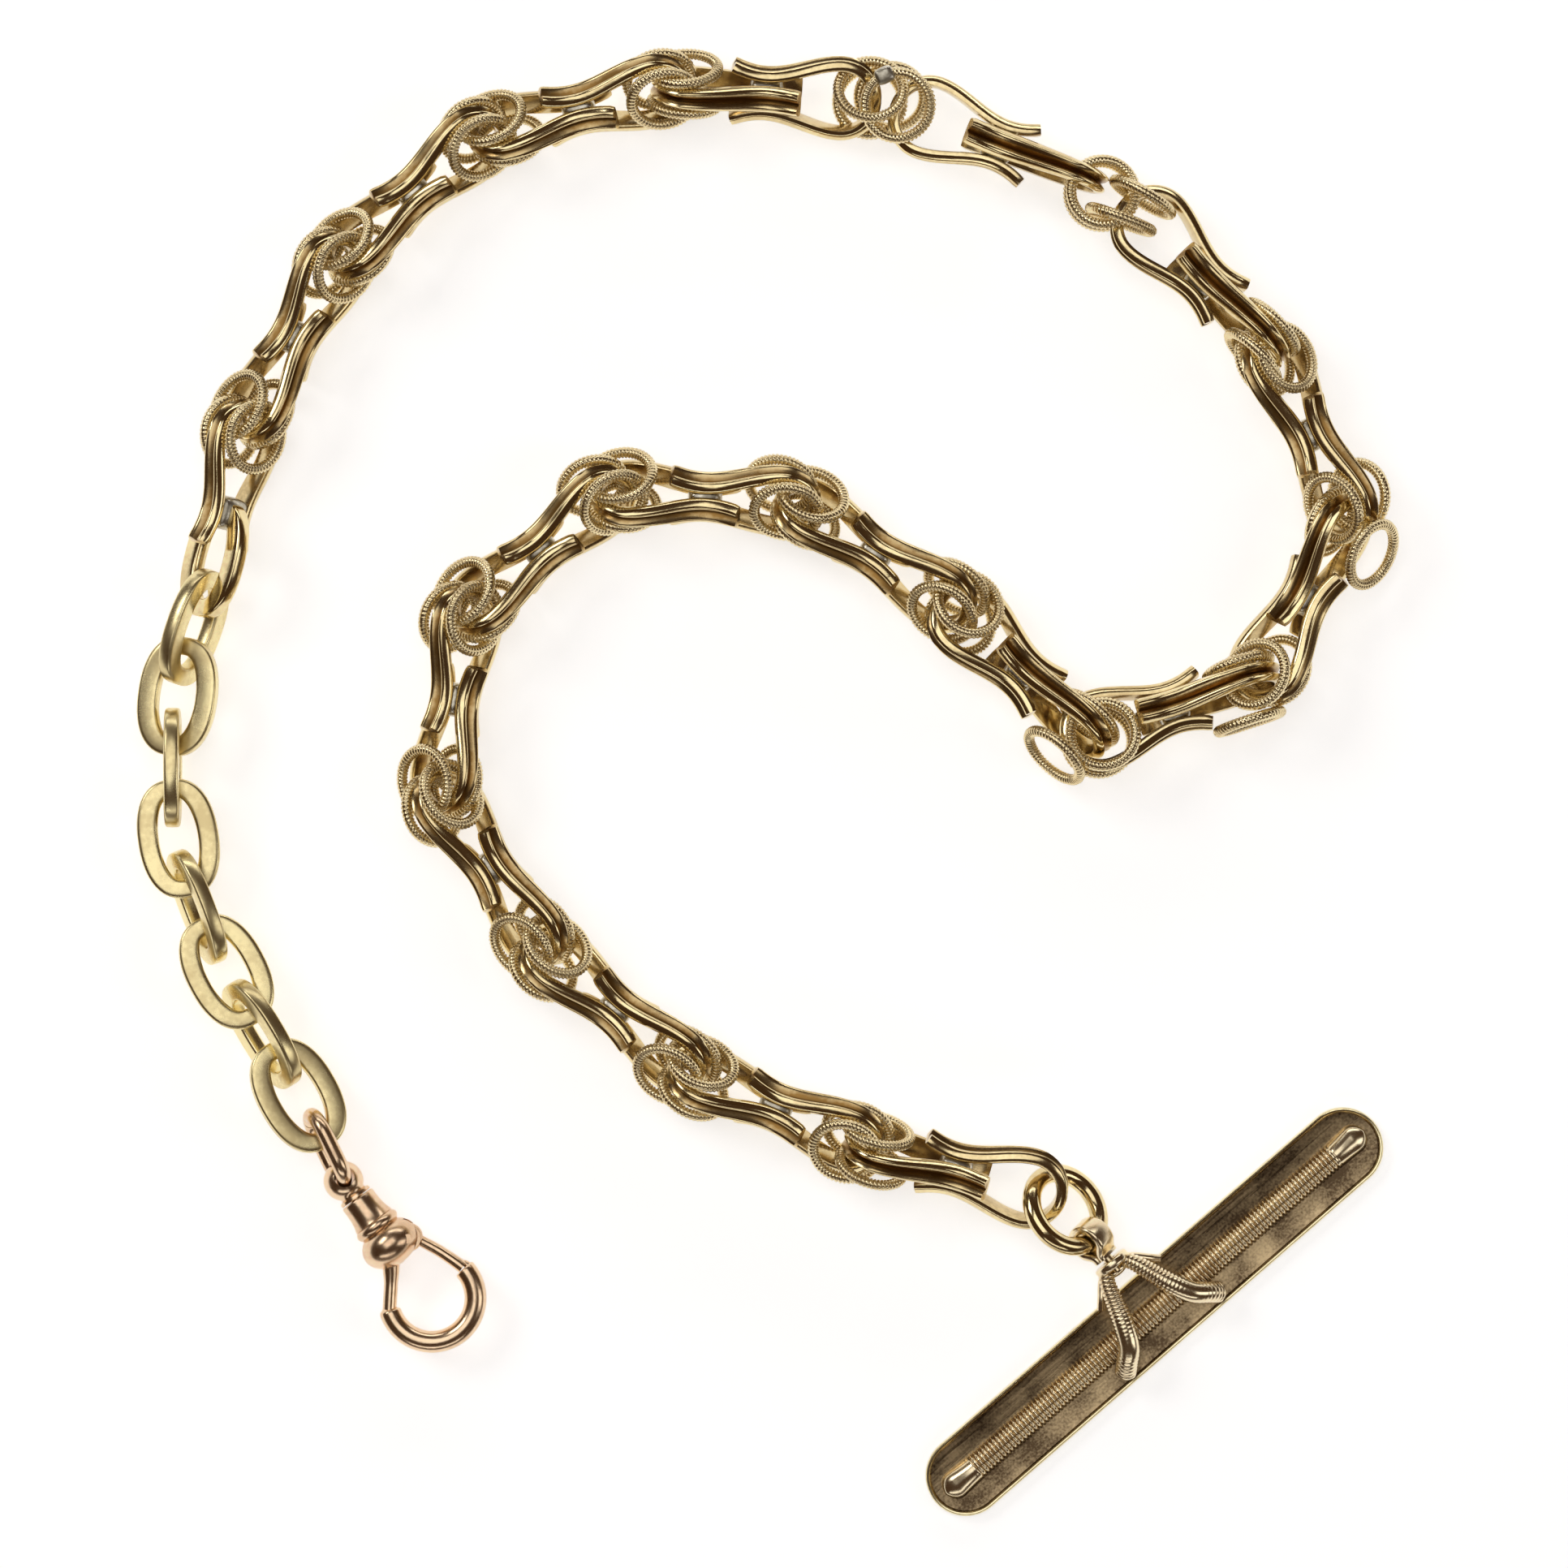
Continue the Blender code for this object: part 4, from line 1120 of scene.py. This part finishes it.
def rounded_strap(width, thickness):
    """A rectangle with round corners."""
    w, t, soft = width / 2, thickness / 2, 0.26 * MM
    corners = ((w, t), (-w, t), (-w, -t), (w, -t))
    points = []
    for x, y in corners:
        middle = Vector((math.copysign(abs(x) - soft, x), math.copysign(abs(y) - soft, y)))
        start = math.atan2(y, x)
        quarter = math.floor(start / (math.pi / 2)) * math.pi / 2
        for turn in (quarter + a for a in (0, 0.52, 1.05, 1.57)):
            points.append(middle + soft * Vector((math.cos(turn), math.sin(turn))))
    return [tuple(p) for p in points]


def post_strap():
    """One leg, round the jump ring's wire, and back: a U that closes on its pin."""
    eye = JUMP_RING_WIRE / 2 + POST_FIT + POST_STRAP / 2
    shut = 0.36 * MM
    bend = []
    for i in range(25):
        turn = math.radians(mix(56, 304, i / 24))
        bend.append(Vector((eye * math.cos(turn), 0, eye * math.sin(turn))))
    legs = [Vector((POST_LENGTH, 0, shut)), Vector((1.4 * MM, 0, shut)), Vector((1.12 * MM, 0, 0.52 * MM))]
    line = legs + bend + [Vector((p.x, 0, -p.z)) for p in reversed(legs)]
    points = smooth_path(line, 3)
    return sweep(stations(points, (0, 1, 0)), lambda i: rounded_strap(POST_STRAP, POST_WIDTH))


def post_pin():
    """The pin between the strap's legs, riveted over with a domed head."""
    under_head = POST_LENGTH + DISC_THICKNESS + 2 * LAND_GAP
    end = under_head + POST_RIVET_THICKNESS
    pin, head = POST_PIN / 2, POST_RIVET / 2
    profile = [(1.3 * MM, 0), (1.3 * MM, pin), (under_head, pin), (under_head, head)]
    for i in range(1, 9):
        turn = math.pi / 2 * i / 8
        profile.append((under_head + (end - under_head) * math.sin(turn), head * math.cos(turn)))
    profile[-1] = (end, 0)
    return turned(profile, 40)


jump_ring = lay_jump_ring()
post = jump_ring @ Matrix.Translation(((JUMP_RING_OUTER - JUMP_RING_WIRE) / 2, 0, 0))
loop = torus(JUMP_RING_OUTER, JUMP_RING_WIRE, 120, 24)
finish("jump_ring_wire", loop, jump_ring, (pale_gold,), "jump_ring", "jump_ring")
strap = post_strap()
add_bmesh(strap, post_pin(), FORE)
finish("post_strap", strap, post, (coil_gold,), "post", "post", sharp=40)
print("post at, mm:", tuple(round(v / MM, 1) for v in post.translation))

# %% [markdown]
# ## The T-bar
# A long plate with round ends, a bright rolled rim and a dull dished face, and along its middle a
# half-round moulding of fine coils. Two arms of coiled wire spread from the drilled disc and arch
# over the moulding. The coils are geometry: the sweep swells and pinches six times a coil, less
# where fingers have rubbed it smooth.

# %% Disc, arms and near wires
DISC_STANDOFF, DISC_HEIGHT = 5.0 * MM, 2.9 * MM
BAR_LENGTH, BAR_WIDTH, BAR_THICKNESS = 43.3 * MM, 6.0 * MM, 0.9 * MM
RIDGE_RADIUS = 0.7 * MM
ARM_WIRE, ARM_WIRE_AT_DISC, ARM_SPREAD, ARM_REACH = 1.62 * MM, 1.2 * MM, 5.0 * MM, 2.25 * MM
ARM_COIL, RIDGE_COIL = 0.3 * MM, 0.34 * MM
STEPS_A_COIL = 6


def coil_swell(at, pitch):
    """From 0 between two coils to 1 on the crest of one."""
    return abs(math.sin(math.pi * at / pitch)) ** 0.6


def even_path(points, step):
    """The same line with its points this far apart."""
    made, carried = [points[0]], 0.0
    for a, b in zip(points, points[1:]):
        length = (b - a).length
        while carried + length >= step:
            a = a.lerp(b, (step - carried) / length)
            made.append(a.copy())
            length, carried = (b - a).length, 0.0
        carried += length
    return made


def lay_bar():
    """The bar lies across the post, flat on the table."""
    reach = POST_LENGTH + LAND_GAP + DISC_THICKNESS / 2 + DISC_STANDOFF
    middle = post.translation + pointing(POST_HEADING) * reach
    middle.z = 0
    return place(POST_HEADING + 90, 0, middle)


def disc():
    """A thick washer with a round edge, standing across the post."""
    bore, edge, half = POST_PIN / 2 + LAND_GAP / 2, DISC_DIAMETER / 2, DISC_THICKNESS / 2
    soft = 0.2 * MM
    section = [(bore, -half)]
    for corner, start in ((-half + soft, -90), (half - soft, 0)):
        for i in range(5):
            turn = math.radians(start + 90 * i / 4)
            section.append((edge - soft + soft * math.cos(turn), corner + soft * math.sin(turn)))
    section.append((bore, half))
    bm = spun_ring(section, 64)
    bm.transform(faced((0, DISC_STANDOFF, DISC_HEIGHT), Vector((0, 1, 0))))
    return bm


def coiled_arm(side):
    """Coiled wire from the disc over the moulding to the plate's far side."""
    top = DISC_HEIGHT
    thin, thick = ARM_WIRE_AT_DISC / 2, ARM_WIRE / 2
    over = BAR_THICKNESS + LAND_GAP + RIDGE_RADIUS + LAND_GAP + thick
    lands = BAR_THICKNESS + thick - 0.1 * MM
    line = [
        (side * 0.75 * MM, DISC_STANDOFF - 0.1 * MM, top),
        (side * 1.3 * MM, DISC_STANDOFF - 1.1 * MM, top + 0.1 * MM),
        (side * 1.75 * MM, 0.52 * DISC_STANDOFF, top + 0.1 * MM),
        (side * 2.35 * MM, 0.2 * DISC_STANDOFF, over + 0.15 * MM),
        (side * 3.1 * MM, -0.1 * DISC_STANDOFF, over),
        (side * 4.0 * MM, -0.6 * ARM_REACH, (over + lands) / 2 + 0.1 * MM),
        (side * 4.6 * MM, -0.85 * ARM_REACH, lands + 0.15 * MM),
        (side * ARM_SPREAD, -ARM_REACH, lands),
    ]
    points = even_path(smooth_path(line, 24), ARM_COIL / STEPS_A_COIL)
    last = len(points) - 1

    def outline(i):
        share = i / last
        from_end = (last - i) * ARM_COIL / STEPS_A_COIL
        rounded = math.sqrt(max(0.05, 1 - max(0, 1 - from_end / (0.6 * MM)) ** 2))
        radius = mix(thin, thick, ease(share / 0.55)) * rounded
        rubbed = 0.35 + 0.65 * ease(1 - abs(share - 0.66) / 0.42)
        valley = 1 - coil_swell(i * ARM_COIL / STEPS_A_COIL, ARM_COIL)
        made = []
        for x, y in circle(1, 20):
            worn = rubbed * ease((y + 0.5) / 0.9)
            pinch = 1 - 0.14 * valley * (1 - worn)
            # the third value is painted shade in the valleys between coils, less on the rubbed top
            made.append((x * radius * pinch, y * radius * pinch, valley * (1 - worn)))
        return made

    return sweep(stations(points, (0, 0, 1)), outline)


def near_wire(side):
    """The smooth wire that ties the disc's foot to the plate's near edge."""
    line = ((side * 0.6, 4.85, 2.2), (side * 1.5, 4.3, 1.8), (side * 2.3, 3.4, 1.2), (side * 2.9, 2.75, 0.95))
    points = smooth_path([Vector(p) * MM for p in line], 8)
    return sweep(stations(points, (0, 0, 1)), lambda i: circle(0.32 * MM, 16))


bar = lay_bar()
yoke = disc()
for side in (1, -1):
    add_bmesh(yoke, coiled_arm(side), FORE)
    add_bmesh(yoke, near_wire(side), FORE)
finish("yoke_disc_and_arms", yoke, bar, (coil_gold,), "bar", "bar_yoke", sharp=60)
print("bar at, mm:", tuple(round(v / MM, 1) for v in bar.translation))

# %% [markdown]
# The plate was pressed: its rim stands bright and round above a dished face. It is swept like the
# strips, but upwards: outlines of the plate are laid one inside the other, from the back's edge up
# over the rim and down into the dish. The moulding is swept along the bar, and its coils fade out
# at both ends into a polished oval.

# %% The plate and its moulding
# (inset from the plate's edge, height), mm
RIM = (
    (0.1, 0.0),
    (0.0, 0.1),
    (0.0, 0.72),
    (0.05, 0.84),
    (0.14, 0.9),
    (0.24, 0.88),
    (0.32, 0.78),
    (0.42, 0.66),
    (1.0, 0.58),
)
BRIGHT_FROM, BRIGHT_TO = 1, 6
RIDGE_LENGTH, RIDGE_POLISHED = 41.3 * MM, 3.0 * MM


def plate():
    """Outlines of the plate laid one inside the other, from the back's edge over the rim to the dish."""
    places = [Matrix.Translation((0, 0, height * MM)) for _, height in RIM]

    def outline(i):
        inset = 2 * RIM[i][0] * MM
        return [p.to_2d() for p in stadium(BAR_LENGTH - inset, BAR_WIDTH - inset, 32)]

    bm = sweep(places, outline)
    rim_top = RIM[BRIGHT_TO][1] * MM
    for face in bm.faces:
        edge_on = abs(face.normal.z) < 0.5
        bright = face.calc_center_median().z > rim_top or (edge_on and len(face.verts) == 4)
        face.material_index = 1 if bright and len(face.verts) == 4 else 0
    return bm


def moulding():
    """Half-round coils along the bar, with a smooth flattened oval at each end."""
    step = RIDGE_COIL / STEPS_A_COIL
    count = round(RIDGE_LENGTH / step)
    places = []
    for i in range(count + 1):
        turn = Matrix.Rotation(math.pi / 2, 4, "Y") @ Matrix.Rotation(math.pi / 2, 4, "Z")
        places.append(Matrix.Translation((-RIDGE_LENGTH / 2 + i * step, 0, 0.55 * MM)) @ turn)

    def outline(i):
        from_end = min(i, count - i) * step
        end = ease(1 - from_end / RIDGE_POLISHED)
        tip = math.sqrt(max(0.02, 1 - (1 - min(from_end / (1.1 * MM), 1)) ** 2))
        polished = ease(1 - (from_end - 2.6 * MM) / (0.8 * MM))
        valley = (1 - coil_swell(i * step, RIDGE_COIL)) * (1 - polished)
        wide = mix(1.05, 1.15, end) * MM * tip * (1 - 0.17 * valley)
        high = mix(1.25, 0.85, end) * MM * mix(0.4, 1, tip) * (1 - 0.12 * valley)
        turns = [math.pi * n / 16 for n in range(17)]
        # the third value is painted shade between the coils, darker low on the sides than on the top
        return [(wide * math.cos(t), high * math.sin(t), valley * (1 - 0.6 * math.sin(t))) for t in turns]

    return sweep(places, outline)


finish("plate_dished", plate(), bar, (bar_patina, rim_gold), "bar", "bar_plate", sharp=40)
finish("moulding_coils", moulding(), bar, (coil_gold,), "bar", "bar_ridge", sharp=60)
print("plate and moulding done")

# %% [markdown]
# ## The table, the light and the camera
# Gold has no colour of its own to show but what it mirrors. Large soft lights give it broad pale
# highlights, and the dim room between them gives the brown streaks that make it look like metal.

# %% Floor, lights, camera
def floor():
    """White paper that glows a little, as an overexposed table does."""
    bm = bmesh.new()
    bmesh.ops.create_grid(bm, x_segments=1, y_segments=1, size=1.5)
    mesh = bpy.data.meshes.new("floor")
    bm.to_mesh(mesh)
    bm.free()
    paper = bpy.data.materials.new("paper")
    paper.use_nodes = True
    shader = paper.node_tree.nodes["Principled BSDF"]
    shader.inputs["Roughness"].default_value = 0.9
    shader.inputs["Base Color"].default_value = (0.92, 0.92, 0.92, 1)
    shader.inputs["Emission Color"].default_value = (1, 1, 1, 1)
    shader.inputs["Emission Strength"].default_value = 0.62
    mesh.materials.append(paper)
    piece = bpy.data.objects.new("floor", mesh)
    bpy.context.scene.collection.objects.link(piece)


def softbox(name, place_at, size, brightness, colour=(1, 1, 1)):
    """A flat lamp aimed at the chain, as bright to look at as asked, whatever its size."""
    light = bpy.data.lights.new(name, "AREA")
    light.shape = "RECTANGLE"
    light.size, light.size_y = size
    light.energy = brightness * math.pi * size[0] * size[1]
    light.color = colour
    lamp = bpy.data.objects.new(name, light)
    lamp.location = place_at
    lamp.rotation_euler = (-Vector(place_at)).to_track_quat("-Z", "Y").to_euler()
    bpy.context.scene.collection.objects.link(lamp)


floor()
softbox("overhead", (-0.08, 0.1, 0.75), (0.6, 0.5), 1.25)
softbox("key", (-0.5, 0.35, 0.5), (0.35, 0.25), 4)
softbox("fill", (0.55, -0.1, 0.4), (0.25, 0.4), 1.5)
softbox("back", (0.05, 0.6, 0.2), (0.7, 0.12), 2.5)
softbox("front", (0, -0.55, 0.3), (0.6, 0.12), 1.5)

room = bpy.data.worlds.new("room")
room.use_nodes = True
room.node_tree.nodes["Background"].inputs["Color"].default_value = (0.05, 0.026, 0.012, 1)
bpy.context.scene.world = room
bpy.context.scene.view_settings.view_transform = "Standard"

VIEW_WIDTH, CAMERA_HEIGHT = 117.1 * MM, 0.5
camera = bpy.data.cameras.new("camera")
camera.sensor_width = 36
camera.lens = camera.sensor_width * CAMERA_HEIGHT / VIEW_WIDTH
viewer = bpy.data.objects.new("camera", camera)
viewer.location = (1.3 * MM, 0.19 * MM, CAMERA_HEIGHT)
bpy.context.scene.collection.objects.link(viewer)
bpy.context.scene.camera = viewer
print("lens, mm:", round(camera.lens, 1))
